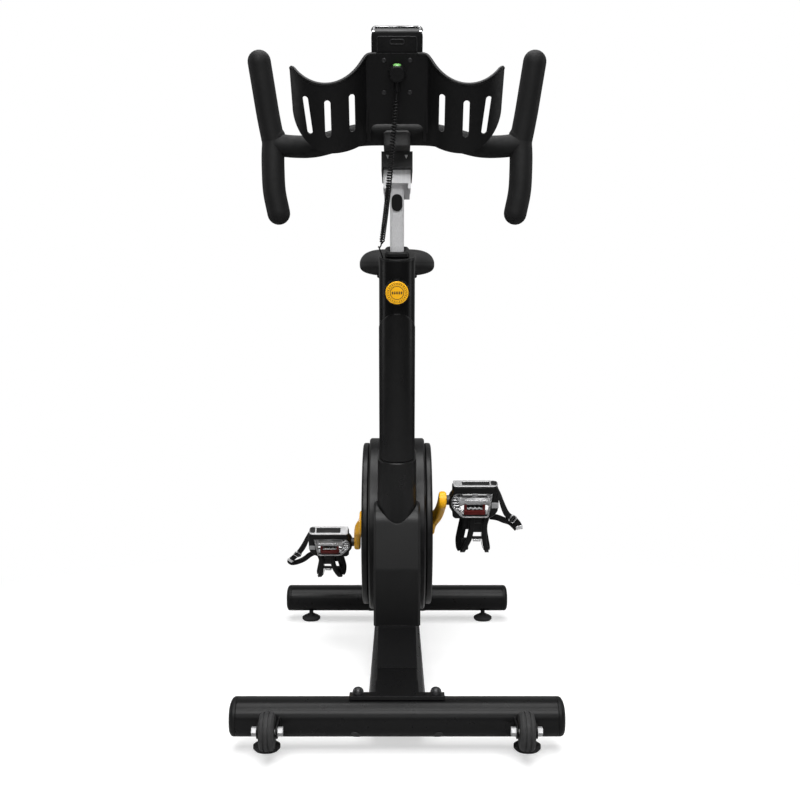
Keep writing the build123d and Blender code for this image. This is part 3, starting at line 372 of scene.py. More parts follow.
class Finish:
    """Procedural material on the Principled shader, built node by node on Object coordinates or the UV
    map."""

    def __init__(self, name, colour, roughness, **sockets):
        self.material = bpy.data.materials.new(name)
        self.material.use_nodes = True
        self.tree = self.material.node_tree
        self.shader = self.tree.nodes["Principled BSDF"]
        self.shader.inputs["Base Color"].default_value = (*colour, 1.0)
        self.shader.inputs["Roughness"].default_value = roughness
        for socket, value in sockets.items():
            self.shader.inputs[socket.replace("_", " ")].default_value = value
        self.material.diffuse_color = (*colour, 1.0)
        self.normal = None

    def drive(self, socket, source):
        """Links a pattern to one of the shader's sockets."""
        self.tree.links.new(source, self.shader.inputs[socket])
        return self

    def coordinates(self, stretch=(1, 1, 1), uv=False):
        """Object or UV coordinates scaled by the stretch."""
        source = add_node(self.tree, "ShaderNodeTexCoord").outputs["UV" if uv else "Object"]
        links = [("Vector", source), ("Scale", stretch)]
        return add_node(self.tree, "ShaderNodeMapping", links).outputs["Vector"]

    def noise(self, scale, detail=3.0, stretch=(1, 1, 1)):
        """Noise with features about 1/scale metres wide."""
        links = [("Vector", self.coordinates(stretch)), ("Scale", scale), ("Detail", detail)]
        return add_node(self.tree, "ShaderNodeTexNoise", links).outputs["Fac"]

    def cells(self, scale, feature="F1"):
        """Cell pattern with cells about 1/scale metres wide."""
        links = [("Vector", self.coordinates()), ("Scale", scale)]
        return add_node(self.tree, "ShaderNodeTexVoronoi", links, feature=feature).outputs["Distance"]

    def bands(self, scale, direction="X", uv=True):
        """Wave bands across a direction."""
        links = [("Vector", self.coordinates(uv=uv)), ("Scale", scale)]
        return add_node(self.tree, "ShaderNodeTexWave", links, bands_direction=direction).outputs["Fac"]

    def spread(self, source, low, high, start=0.3, end=0.7):
        """Remaps a pattern from the start-end range to low-high."""
        return map_range(self.tree, source, start, end, low, high)

    def shade(self, source, dark, light):
        """Base colour between two colours by a pattern."""
        links = [("Factor", source), (6, (*dark, 1.0)), (7, (*light, 1.0))]
        mix = add_node(self.tree, "ShaderNodeMix", links, data_type="RGBA")
        return self.drive("Base Color", mix.outputs[2])

    def rough(self, source, low, high):
        """Roughness between two values by a pattern."""
        return self.drive("Roughness", self.spread(source, low, high))

    def soft_edges(self, radius):
        """Rounds the shading of sharp edges over a small radius, in metres."""
        bevel = add_node(self.tree, "ShaderNodeBevel", [("Radius", radius)], samples=4)
        self.normal = bevel.outputs["Normal"]
        return self.drive("Normal", self.normal)

    def relief(self, source, depth, strength=1.0):
        """Raises the surface by a pattern, over what relief it already has."""
        links = [("Height", source), ("Distance", depth), ("Strength", strength)]
        if self.normal is not None:
            links.append(("Normal", self.normal))
        self.normal = add_node(self.tree, "ShaderNodeBump", links).outputs["Normal"]
        return self.drive("Normal", self.normal)


def tint(colour, factor):
    """Colour scaled in brightness."""
    return tuple(min(1.0, c * factor) for c in colour[:3])


def front_cover(colours):
    """Plastic of the covers on the keel, with a matte toe below it: the shine changes over 2 mm of
    height."""
    f = Finish("front_cover", colours.plastic, 0.34)
    height = add_node(f.tree, "ShaderNodeSeparateXYZ", [(0, f.coordinates())]).outputs["Z"]
    f.drive("Specular IOR Level", f.spread(height, 0.02, 0.24, 0.1345, 0.1365))
    f.rough(f.noise(40, 4), 0.3, 0.4)
    return f.soft_edges(0.0018).relief(f.cells(1400), 0.00003, 0.15).material


def brushed_aluminium(colours):
    """Silver anodised extrusion with fine lines along its length, from noise stretched along the height."""
    f = Finish("brushed_aluminium", colours.silver, 0.5, Metallic=0.3)
    lines = f.noise(1, 3, (900, 900, 14))
    f.shade(f.spread(lines, 0, 1), tint(colours.silver, 0.72), tint(colours.silver, 0.86))
    f.rough(lines, 0.42, 0.58)
    return f.soft_edges(0.0008).relief(lines, 0.00004, 0.4).material


def webbing(colours):
    """Woven strap: the higher of weft bands across the strap and warp bands along it, on the piece's UV
    map."""
    f = Finish(
        "webbing", colours.webbing, 0.7, Specular_IOR_Level=0.12, Sheen_Weight=0.04, Sheen_Roughness=0.4
    )
    links = [(0, f.bands(260, "X")), (1, f.bands(330, "Y"))]
    weave = add_node(f.tree, "ShaderNodeMath", links, operation="MAXIMUM").outputs[0]
    f.shade(weave, tint(colours.webbing, 0.5), tint(colours.webbing, 1.7))
    return f.relief(weave, 0.0003, 0.8).material


# The other finishes. colour is a colour setting or a fixed colour, and tone its brightness. mottle is a
# noise's scale and detail, then the darkest and lightest colour or their brightness. gloss is a noise's scale
# and detail, then the least and most roughness. edge is the radius of softened edges, in metres. skin is a
# pattern, its settings, its depth and its strength. The rest are sockets of the shader.
PLAIN_FINISHES = {
    "powder_coat": dict(
        colour="paint", roughness=0.28, mottle=(14, 4, 0.92, 1.1), gloss=(60, 3, 0.27, 0.31), edge=0.0015,
        Specular_IOR_Level=0.15,
    ),
    "cover_plastic": dict(
        colour="plastic", roughness=0.32, mottle=(9, 5, 0.85, 1.18), gloss=(40, 4, 0.27, 0.38), edge=0.0018,
        skin=("cells", (1400,), 0.00003, 0.15), Specular_IOR_Level=0.22,
    ),
    "dark_plastic": dict(
        colour="resin", roughness=0.44, mottle=(25, 4, 0.8, 1.25), gloss=(90, 3, 0.38, 0.5), edge=0.0009,
        skin=("cells", (1900,), 0.00009, 0.3), Specular_IOR_Level=0.16,
    ),
    "grip_coat": dict(
        colour="grip", roughness=0.55, mottle=(35, 5, 0.85, 1.2), gloss=(120, 3, 0.54, 0.68),
        skin=("noise", (900, 4), 0.00018, 0.5), Specular_IOR_Level=0.16, Sheen_Weight=0.02,
        Sheen_Roughness=0.5,
    ),
    "yellow_paint": dict(
        colour="yellow", roughness=0.36, mottle=(30, 3, 0.92, 1.06), edge=0.0012,
        skin=("noise", (500, 2), 0.0001, 0.3), Coat_Weight=0.1, Coat_Roughness=0.2, Specular_IOR_Level=0.2,
    ),
    "bright_alloy": dict(
        colour="silver", roughness=0.26, mottle=(90, 3, 0.75, 1.05), gloss=(120, 3, 0.2, 0.34), edge=0.0006,
        skin=("noise", (300, 2), 0.00006, 0.3), Metallic=0.9,
    ),
    "satin_alloy": dict(
        colour="silver", tone=0.48, roughness=0.42, mottle=(140, 4, 0.38, 0.58), gloss=(200, 3, 0.34, 0.5),
        edge=0.0006, skin=("cells", (1500,), 0.00008, 0.3), Metallic=0.45,
    ),
    "bright_steel": dict(
        colour=(0.62, 0.62, 0.63), roughness=0.25, mottle=(200, 3, (0.5, 0.5, 0.51), (0.7, 0.7, 0.71)),
        gloss=(300, 2, 0.2, 0.34), edge=0.0006, Metallic=1.0,
    ),
    "cast_iron": dict(
        colour=(0.2, 0.2, 0.205), roughness=0.38, mottle=(60, 4, (0.15, 0.15, 0.155), (0.26, 0.26, 0.265)),
        gloss=(400, 2, 0.3, 0.48), Metallic=0.9,
    ),
    "black_rubber": dict(
        colour="rubber", roughness=0.72, mottle=(70, 5, 0.75, 1.4), gloss=(150, 3, 0.62, 0.82),
        skin=("noise", (1100, 3), 0.00014, 0.4), Specular_IOR_Level=0.35,
    ),
    "lead_jacket": dict(
        colour="rubber", tone=0.35, roughness=0.5, gloss=(260, 2, 0.42, 0.58), Specular_IOR_Level=0.14,
    ),
    "belt_rubber": dict(
        colour="rubber", roughness=0.65, mottle=(120, 3, 0.7, 1.3),
        skin=("bands", (140, "X", False), 0.0004, 0.8),
    ),
    "saddle_vinyl": dict(
        colour="vinyl", roughness=0.48, mottle=(18, 5, 0.85, 1.22), gloss=(45, 3, 0.42, 0.58),
        skin=("cells", (620, "SMOOTH_F1"), 0.0003, 0.45), Specular_IOR_Level=0.2, Sheen_Weight=0.03,
    ),
    "display_glass": dict(
        colour=(0.012, 0.014, 0.015), roughness=0.08,
        mottle=(5, 2, (0.010, 0.012, 0.013), (0.02, 0.023, 0.024)), Coat_Weight=0.6, Coat_Roughness=0.04,
    ),
    "green_lens": dict(colour="lens", roughness=0.3, mottle=(200, 2, 0.8, 1.25), Coat_Weight=0.3),
    "red_anodised": dict(
        colour="red", roughness=0.34, mottle=(150, 3, 0.7, 1.3), edge=0.0005, Metallic=0.55,
    ),
    "chrome_rim": dict(colour=(0.78, 0.78, 0.79), roughness=0.12, gloss=(90, 3, 0.07, 0.2), Metallic=1.0),
    "black_zinc": dict(
        colour=(0.02, 0.02, 0.021), roughness=0.36,
        mottle=(180, 3, (0.014, 0.014, 0.015), (0.035, 0.035, 0.036)), edge=0.0006, Metallic=0.4,
    ),
    "knob_print": dict(colour="yellow", tone=0.04, roughness=0.5, mottle=(300, 2, 0.02, 0.06)),
}
SPECIAL_FINISHES = {"front_cover": front_cover, "brushed_aluminium": brushed_aluminium, "webbing": webbing}
FINISHES = {}


def plain_finish(
    colours, name, colour, roughness, tone=1.0, mottle=None, gloss=None, edge=None, skin=None, **sockets
):
    """Material from a row of the table: colour and roughness spread by noise, soft edges and a relief."""
    base = getattr(colours, colour) if isinstance(colour, str) else colour
    f = Finish(name, tint(base, tone), roughness, **sockets)
    if mottle:
        scale, detail, *ends = mottle
        dark, light = (end if isinstance(end, tuple) else tint(base, end) for end in ends)
        f.shade(f.noise(scale, detail), dark, light)
    if gloss:
        scale, detail, low, high = gloss
        f.rough(f.noise(scale, detail), low, high)
    if edge:
        f.soft_edges(edge)
    if skin:
        pattern, settings, depth, strength = skin
        f.relief(getattr(f, pattern)(*settings), depth, strength)
    return f.material


def finish(name):
    """The material of a named finish, made once."""
    if name not in FINISHES:
        colours = bpy.context.scene.bike_colours
        special = SPECIAL_FINISHES.get(name)
        FINISHES[name] = special(colours) if special else plain_finish(colours, name, **PLAIN_FINISHES[name])
    return FINISHES[name]


# Finish of a slot where its name is another, and of the nodes that differ from their slot
SLOT_FINISH = {
    "frame_paint": "powder_coat",
    "crank_yellow": "yellow_paint",
    "aluminium": "brushed_aluminium",
    "steel": "bright_steel",
    "rubber": "black_rubber",
    "saddle_cover": "saddle_vinyl",
    "screen_glass": "display_glass",
}
NODE_FINISH = {
    "stabiliser_bolts": "black_zinc",
    "pedal_spindles": "black_zinc",
    "console_lead": "lead_jacket",
    # The carriage takes the brighter black of the rubber as painted light, standing in for light that the tray's
    # shade keeps off it
    "handlebar_carriage": "black_rubber",
    "front_covers": "front_cover",
    "wheel_bolts": "satin_alloy",
}


# Settings


def colour_property(name, description, value):
    """Colour setting in linear light."""
    return bpy.props.FloatVectorProperty(
        name=name, description=description, default=value, size=3, min=0.0, max=1.0, subtype="COLOR"
    )


def length_property(name, description, value, low, high):
    """Length setting, in metres."""
    return bpy.props.FloatProperty(
        name=name, description=description, default=value, min=low, max=high, unit="LENGTH"
    )


class BikeColours(bpy.types.PropertyGroup):
    """Base colours of the bike's finishes."""

    paint: colour_property("Paint", "Powder coat of the frame tubes", (0.0045, 0.0045, 0.0047))
    plastic: colour_property("Covers", "Moulded covers of the drive", (0.0055, 0.0055, 0.0057))
    resin: colour_property("Resin", "Tray, caps, knobs and pedal cages", (0.005, 0.005, 0.0052))
    grip: colour_property("Grips", "Soft coating of the handlebar", (0.006, 0.006, 0.0062))
    yellow: colour_property("Yellow", "Cranks and knob cap", (0.88, 0.44, 0.01))
    silver: colour_property("Silver", "Post, rails and pedal cores", (0.76, 0.76, 0.77))
    rubber: colour_property("Rubber", "Wheels, feet and the lead", (0.02, 0.02, 0.0204))
    webbing: colour_property("Webbing", "Pedal straps", (0.005, 0.005, 0.0052))
    vinyl: colour_property("Vinyl", "Saddle cover", (0.006, 0.006, 0.0062))
    red: colour_property("Red", "Claw of the pedal binding", (0.1, 0.006, 0.005))
    lens: colour_property("Lens", "Light on the connector", (0.13, 0.36, 0.09))


class BikeSizes(bpy.types.PropertyGroup):
    """Sizes that a user would change."""

    coil_turns: bpy.props.IntProperty(
        name="Coil turns", description="Turns of the curly console lead", default=56, min=8, max=80
    )
    coil_radius: length_property("Coil radius", "Radius to the wire's middle", 0.0037, 0.002, 0.006)
    wire_radius: length_property("Wire radius", "Radius of the lead's wire", 0.00125, 0.0008, 0.002)
    saddle_channel: length_property("Saddle channel", "Depth of the saddle's groove", 0.007, 0.0, 0.014)


class PieceOperator:
    """What the operators share: settings, and a build method that makes the pieces."""

    bl_options = {"REGISTER"}

    def execute(self, context):
        """Builds the pieces with the scene's settings."""
        self.build(context.scene.bike_sizes)
        return {"FINISHED"}


# Pieces


class BIKE_OT_packed_nodes(PieceOperator, bpy.types.Operator):
    """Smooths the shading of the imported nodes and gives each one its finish"""

    bl_idname = "bike.packed_nodes"
    bl_label = "Packed nodes"

    def build(self, sizes):
        """Welds equal points within 0.01 mm and keeps edges over 32 degrees as creases."""
        for name, node in frame["nodes"].items():
            slot = SLOT_OF[name]
            node.data.materials.clear()
            node.data.materials.append(finish(NODE_FINISH.get(name, SLOT_FINISH.get(slot, slot))))
            node.data.polygons.foreach_set("use_smooth", np.ones(len(node.data.polygons), bool))
            node.modifiers.new("weld", "WELD").merge_threshold = 0.00001
            node.modifiers.new("creases", "EDGE_SPLIT").split_angle = np.radians(32)
            node.modifiers.new("flats", "WEIGHTED_NORMAL").keep_sharp = True


class BIKE_OT_console_lead(PieceOperator, bpy.types.Operator):
    """Curly lead from the plug on the tray to the column's top, in two lengths that meet at the post"""

    bl_idname = "bike.console_lead"
    bl_label = "Console lead"

    def build(self, sizes):
        """Ring of the wire's radius carried along a helix, in two lengths that meet at the post."""
        route = [
            TRAY((0, 90, 9)),
            (-3, -414, 1030),
            (-9, -396, 968),
            (-14, -366, 921),
            (-19, -330, 885),
            (-23.5, -302, 857),
            (-27, -285, 834),
            (-32, -268, 830),
            (-33, -250, 838),
            COLUMN((-25.5, -30, 1.8)),
        ]
        line = self.even_points(route_line(route), 1500)
        wire, radial = self.helix(line, 1000 * sizes.coil_radius, sizes.coil_turns)
        wire_radius = 1000 * sizes.wire_radius
        tube = carry(wire, circle_outline(wire_radius, 8)(0), up=radial)
        middle = len(wire) * 2 // 5
        lengths = (
            ("upper", slice(0, middle + 1), "handlebar", "handlebar_post"),
            ("lower", slice(middle, None), "handlebar_post", "frame"),
        )
        for name, part, start_body, end_body in lengths:
            made = piece(f"console_lead_{name}", closed_ends(tube[part]), "lead_jacket", None, "console_lead")
            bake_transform(made)

    def even_points(self, line, count):
        """Points at even steps along a line."""
        run = np.concatenate([[0.0], np.cumsum(np.linalg.norm(np.diff(line, axis=0), axis=1))])
        step = np.linspace(0, run[-1], count)
        return np.stack([np.interp(step, run, line[:, k]) for k in range(3)], 1)

    def helix(self, line, radius, turns):
        """Wire round the route: line + s (side cos p + other sin p), where p turns evenly between the
        coil's ends and s rises smoothly from nothing at each end to the coil's radius."""
        coil_start, coil_end, rise = 0.035, 0.83, 0.03
        u = np.linspace(0, 1, len(line))
        inside = np.clip(np.minimum(u - coil_start, coil_end - u) / rise, 0, 1)
        swell = radius * inside**2 * (3 - 2 * inside)
        phase = 2 * np.pi * turns * np.clip((u - coil_start) / (coil_end - coil_start), 0, 1)
        tangent = unit(np.gradient(line, axis=0))
        side = unit(np.array([1.0, 0.0, 0.0]) - tangent * tangent[:, :1])
        other = np.cross(tangent, side)
        radial = side * np.cos(phase)[:, None] + other * np.sin(phase)[:, None]
        return line + swell[:, None] * radial, radial


class BIKE_OT_handlebar(PieceOperator, bpy.types.Operator):
    """Coated crossbar, and a horn and a drop at each end of it"""

    bl_idname = "bike.handlebar"
    bl_label = "Handlebar"

    def build(self, sizes):
        """Round bars along smooth lines, given across, behind the bar and up."""
        bar = curve_through([(x, BAR_Y, z) for x, z in self.bar_line()], 120)
        crossbar = rod(bar, BAR_RADIUS - 0.6, count=40)
        piece("crossbar", crossbar, "grip_coat", "handlebar", "handlebar_crossbar")
        horn = [(231.5, -32, 1134), (226, -22, 1096), (219, -9, 1048), (211, 1, 1004)]
        drop = [(210, 0, 1014), (212, 1, 990), (212, 2, 960), (210, 4, 922), (203, 8, 885)]
        for name, side in SIDES:
            grids = [rod(self.line(side, points), BAR_RADIUS, (0, 1, 0), 40) for points in (horn, drop)]
            piece(f"grip_{name}", grids, "grip_coat", "handlebar", f"handlebar_grip_{name}")

    def bar_line(self):
        """Height of the bar across the bike: low at the grips, arched over the post."""
        right = [(60, 1018), (100, 1009), (140, 999), (175, 998), (212, 1002)]
        return [(-x, z) for x, z in right[::-1]] + [(0, 1019)] + right

    def line(self, side, points):
        """Smooth line of a grip from points across, behind the bar and up."""
        return curve_through([(side * x, BAR_Y + y, z) for x, y, z in points], 60)


class BIKE_OT_saddle(PieceOperator, bpy.types.Operator):
    """Padded saddle with drooping wings, a groove along its middle and piping along its edges"""

    bl_idname = "bike.saddle"
    bl_label = "Saddle"

    def build(self, sizes):
        """Skin round each station: x = w cos(t)^p, and z rises from the edge to the crown as sin(t)^0.95
        and falls to the floor as sin(t)^0.75; a bell-shaped groove is taken off along the middle."""
        half, edge, crown, y = self.stations()
        turn = round_angles(96)
        cos, sin = np.cos(turn), np.sin(turn)
        x = half[:, None] * np.sign(cos) * np.abs(cos) ** np.where(sin > 0, 0.5, 0.42)
        up = (crown - edge)[:, None] * np.clip(sin, 0, 1) ** 0.95
        down = (edge - SADDLE_FLOOR)[:, None] * np.clip(-sin, 0, 1) ** 0.75
        fade = np.clip((y - 205) / 40, 0, 1) * np.clip((455 - y) / 50, 0, 1)
        groove = np.exp(-((x / 13) ** 2)) * fade[:, None]
        z = edge[:, None] + up - down - 1000 * sizes.saddle_channel * groove * (sin > 0)
        skin = np.stack([x, np.repeat(y[:, None], len(turn), 1), z], 2)
        cover = piece("saddle_cover", closed_ends(skin), "saddle_vinyl", "saddle", "saddle_cushion", sharp=60)
        seam = len(turn) // 48
        for name, column in (("right", seam), ("left", len(turn) // 2 - seam)):
            path = skin[2:-2, column] + (0, 0, 0.3)
            piece(f"saddle_piping_{name}", rod(path, 0.6, (1, 0, 0), 10, 4), "saddle_vinyl", "saddle")
        plan = [(48, 400), (44, 430), (-44, 430), (-48, 400), (-26, 290), (-15, 200), (15, 200), (26, 290)]
        shell = slab(star_outline(plan, np.array([0, 340])), SADDLE_FLOOR - 8, SADDLE_FLOOR + 4, 2.5)
        piece("saddle_shell", shell, "dark_plastic", "saddle", "saddle_base")

    def stations(self):
        """Half width, edge height, crown height and place along the bike, nose to tail."""
        table = [
            (9, 851, 855, 181),
            (17, 853, 861, 184),
            (24, 856, 868, 196),
            (29, 860, 877, 240),
            (43, 862, 880, 300),
            (74, 866, 892, 360),
            (89, 869, 905, 405),
            (84, 870, 906, 434),
            (66, 867, 897, 449),
            (40, 862, 884, 453),
        ]
        return curve_through(table, 90).T


class BIKE_OT_cranks(PieceOperator, bpy.types.Operator):
    """Forged yellow cranks with a soft S-bend and rounded ends"""

    bl_idname = "bike.cranks"
    bl_label = "Cranks"

    def build(self, sizes):
        """Each arm lies along the line from the axle to its pedal, with its thickness outwards."""
        axle = joint_mm("crank_spin") * (0, 1, 1)
        for name, side in SIDES:
            pedal = joint_mm(f"pedal_{name}_spin") * (0, 1, 1)
            arm = place(axle, unit(pedal - axle), (side, 0, 0))
            piece(f"crank_{name}", arm(self.loft()), "yellow_paint", "crankset", f"crank_arm_{name}")

    def loft(self):
        """Rounded sections along the arm: the half height is that of the root, the waist or the pedal
        boss and falls as a circle towards both ends, and the mid line bends outwards as an S."""
        root, waist, boss, length = 25.0, 14.0, 17.0, 170.0
        run = np.concatenate([-root * np.cos(np.linspace(0, 1.2, 12)), np.linspace(-6, 160, 60)])
        run = np.concatenate([run, length + boss * np.sin(np.linspace(-0.5, np.pi / 2, 14))])
        ends = np.sqrt(np.clip(root**2 - np.minimum(run, 0) ** 2, 0, None))
        tip = np.sqrt(np.clip(boss**2 - np.maximum(run - length, 0) ** 2, 0, None))
        taper = waist + (root - waist) * np.exp(-((np.maximum(run, 0) / 26) ** 2))
        taper = taper + (boss - waist) * np.exp(-(((run - length) / 24) ** 2))
        half = np.where(run < 0, ends, np.where(run > length, tip, taper))
        bend = np.interp(run, (-26, 18, 32, 52, 80, 120, 187), (70, 70.5, 75, 81, 84.5, 87, 88.7))
        bend = np.convolve(np.pad(bend, 4, "edge"), np.ones(9) / 9, "valid")
        thick = np.interp(run, (-26, 20, 60, 187), (8, 7.8, 7.4, 7.2))
        rows = []
        for along, out, high, deep in zip(run, bend, np.maximum(half, 0.4), thick):
            section = rounded_rectangle(2 * high, 2 * deep, min(5.5, high - 0.1, deep - 0.1))
            rows.append(np.column_stack([np.full(len(section), along), section + (0, out)]))
        return closed_ends(np.array(rows))


class BIKE_OT_details(PieceOperator, bpy.types.Operator):
    """Console shell, rim and screws of the tray, stabilisers, knob face, column panel and collar"""

    bl_idname = "bike.details"
    bl_label = "Console, tray and column details"

    def build(self, sizes):
        """Makes the groups of details, from the console down to the column."""
        self.console()
        self.tray()
        self.stabilisers()
        self.plugs()
        self.knob_face()
        self.column()

    def console(self):
        """Shell with its battery door, a plated frame round the display and the keypad's bars between the
        buttons, all blocks and collars on the tray's frame."""
        shell = block(0, 139.5, 82.5, 85, CONSOLE_FACE - 0.5, CONSOLE_BACK + 0.2, 9, 2.5)
        piece("console_shell", TRAY(shell), "dark_plastic", "handlebar", "console_case")
        rim = box_collar((84, 57.5, 8), (70.6, 52.6, 4), -30, CONSOLE_FACE, 1, (0, 156))
        piece("console_frame", TRAY(rim), "chrome_rim", "handlebar", wrap=RING)
        bars = [(-37, 112, 8, 30), (0, 112, 14, 30), (37, 112, 8, 30), (0, 101, 82, 8), (0, 125, 82, 5)]
        keypad = [TRAY(block(*bar, -29.4, CONSOLE_FACE, 2.0, 0.8)) for bar in bars]
        piece("console_keypad", keypad, "dark_plastic", "handlebar")
        corners = [TRAY(block(x, 178.5, 5.5, 6, -26, -6, 2.0, 0.8)) for x in (-37.5, 37.5)]
        piece("console_corners", corners, "chrome_rim", "handlebar")
        door = box_collar((65, 33, 4), (62, 30, 3), CONSOLE_BACK, -2.9, 0.3, (0, 158))
        notch = box_collar((24, 9, 4), (21, 6, 2.8), CONSOLE_BACK, -2.7, 0.3, (0, 165.5))
        piece("battery_door", [TRAY(door), TRAY(notch)], "black_zinc", "handlebar", wrap=RING)

    def tray(self):
        """Rolled rim along the wings' upper edge, which is an arc on a round face, four screws, the
        connector's light, which is a flattened ball, and two pale triangles on the carriage's front."""
        x = np.linspace(60, 165, 36)
        edge = circle_height([(56, 138), (114, 109), (165, 128)], x, -1)
        face = circle_height([(50, 0), (112, 36), (174, 4)], x, 1)
        lip = np.stack([x, edge - 1, face - 1.8], 1)
        lip = np.vstack([[(34, 147, -1.8), (43, 146.6, -1.8), (50, 143.5, 0.5)], lip])
        lip = np.vstack([lip, [(168, 127.6, 8.5), (170.5, 126.5, 6.5)]])
        for name, side in SIDES:
            rim = rod(curve_through(lip * (side, 1, 1), 140), 2.9, (0, 0, 1), 14)
            piece(f"tray_rim_{name}", TRAY(rim), "cover_plastic", "handlebar")
        head = lathe([(0, -0.5), (3.7, -0.5), (3.7, 0.7), (3.0, 1.2), (1.6, 1.2), (1.4, 0.4), (0, 0.4)], 24)
        screws = [TRAY(head + (x, y, 0)) for x in (-21, 21) for y in (85, 137)]
        piece("tray_screws", screws, "black_zinc", "handlebar")
        a = np.linspace(-np.pi / 2, np.pi / 2, 15)
        lens = lathe(np.stack([np.cos(a), np.sin(a)], 1), 32) * (6.8, 3.2, 5.2) + (0, 131.5, 10.5)
        piece("connector_light", TRAY(lens), "green_lens", "handlebar")
        # Two pale triangles of satin alloy on the carriage's front
        front = leaning((0, box_mm("handlebar_carriage")[1][1] - CARRIAGE_LENGTH, 985), -1, 0)
        pale_triangle = star_outline([(3, 3), (-3, 3), (0, -4)], np.zeros(2), 36)
        pale_triangles = [front(slab(moved(pale_triangle, x, 0), -0.4, 0.4, 0.2)) for x in (-16, 16)]
        piece("carriage_marks", pale_triangles, "satin_alloy", "handlebar")

    def stabilisers(self):
        """Oval cross tubes with domed end caps and a stub of the beam, the front one with the ears of its
        wheels. Along a cap the section shrinks as cos(q)^0.35 while x runs out as sin q."""
        reach = box_mm("stabiliser_end_caps")[1][0]
        seam = reach - CAP_LENGTH
        q = np.linspace(0, np.pi / 2, 14)
        dome = np.column_stack([reach - CAP_DOME + CAP_DOME * np.sin(q), np.cos(q).clip(0) ** 0.35])
        cap = np.concatenate([[(seam, 0), (seam, 0.985), (seam + 0.5, 1)], dome[:-1], [(reach, 0)]])
        tube = [(-seam, 0), (-seam, 0.985), (0.5 - seam, 1), (seam - 0.5, 1), (seam, 0.985), (seam, 0)]
        caps, bolts = [], []
        for end, inward, ears in (("front", 1, self.ears()), ("rear", -1, [])):
            middle = middle_mm(f"levelling_foot_{end}_left")[1]
            caps += [oval_bar(cap, middle), oval_bar(cap[::-1] * (-1, 1), middle)]
            bolts += [lathe(BOLT_PROFILE, 32) + (x, middle, 0) for x in (-BOLT_X, BOLT_X)]
            stub = slab(box_outline(*BEAM_SECTION), 8, OVAL_HALF_DEPTH, 0.3)
            grids = [oval_bar(tube, middle), leaning((0, middle, OVAL_MID_Z), inward, 0)(stub)] + ears
            piece(f"{end}_tube", grids, "powder_coat", "frame", f"{end}_stabiliser")
        piece("end_caps", caps, "dark_plastic", "frame", "stabiliser_end_caps")
        piece("tube_bolts", bolts, "black_zinc", "frame", "stabiliser_bolts")

    def ears(self):
        """Two plates beside each transport wheel, sunk into the tube."""
        plates = []
        for name, _ in SIDES:
            wheel = place(middle_mm(f"transport_wheel_{name}"), (0, 1, 0), (1, 0, 0))
            plates += [wheel(block(19.75, 0, 61.5, 22, x, x + 3, 10.9, 0.5)) for x in (-16.5, 13.5)]
        return plates

    def plugs(self):
        """Round rubber plugs low on the front stabiliser, square to its oval: with y^p + z^p = 1 in
        shares of the half depth and half height, the normal is (y^(p-1) / depth, z^(p-1) / height)."""
        out = (1 - PLUG_DROP**OVAL_POWER) ** (1 / OVAL_POWER)
        across = -(out ** (OVAL_POWER - 1)) / OVAL_HALF_DEPTH
        down = -(PLUG_DROP ** (OVAL_POWER - 1)) / OVAL_HALF_HEIGHT
        middle = middle_mm("levelling_foot_front_left")[1]
        spot = (0, middle - OVAL_HALF_DEPTH * out, OVAL_MID_Z - OVAL_HALF_HEIGHT * PLUG_DROP)
        front = leaning(spot, across, down)
        plug = circle_outline(PLUG_RADIUS)
        plugs = [front(slab(moved(plug, x, 0), -0.8, 0.4, 0.3)) for x in (-PLUG_X, PLUG_X)]
        piece("stabiliser_plugs", plugs, "black_rubber", "frame")

    def knob_face(self):
        """Plain printed rings, ticks every 15 degrees and a row of bars on the height knob's yellow cap."""
        lean = np.radians(COLUMN_LEAN)
        out = np.array([0, -np.cos(lean), -np.sin(lean)])
        face = place(middle_mm("handlebar_knob_cap") + 1.25 * out, (1, 0, 0), out)
        low, high, edge = -0.2, 0.25, 0.1
        rings = [(17.8, 17.2), (12.4, 11.2)]
        rings = [face(collar(circle_outline(r), circle_outline(q), low, high, edge)) for r, q in rings]
        piece("knob_rings", rings, "knob_print", "height_knob", wrap=RING)
        tick = block(15.1, 0, 2.2, 1.5, low, high, 0.4, edge)
        ticks = []
        for turn in np.radians(np.arange(0, 360, 15)):
            spoke = place((0, 0, 0), (np.cos(turn), np.sin(turn), 0), (0, 0, 1))
            ticks.append(face(spoke(tick)))
        ticks += [face(block(x, 0, 2.6, 5.0, low, high, 0.6, edge)) for x in range(-8, 9, 4)]
        piece("knob_ticks", ticks, "knob_print", "height_knob")

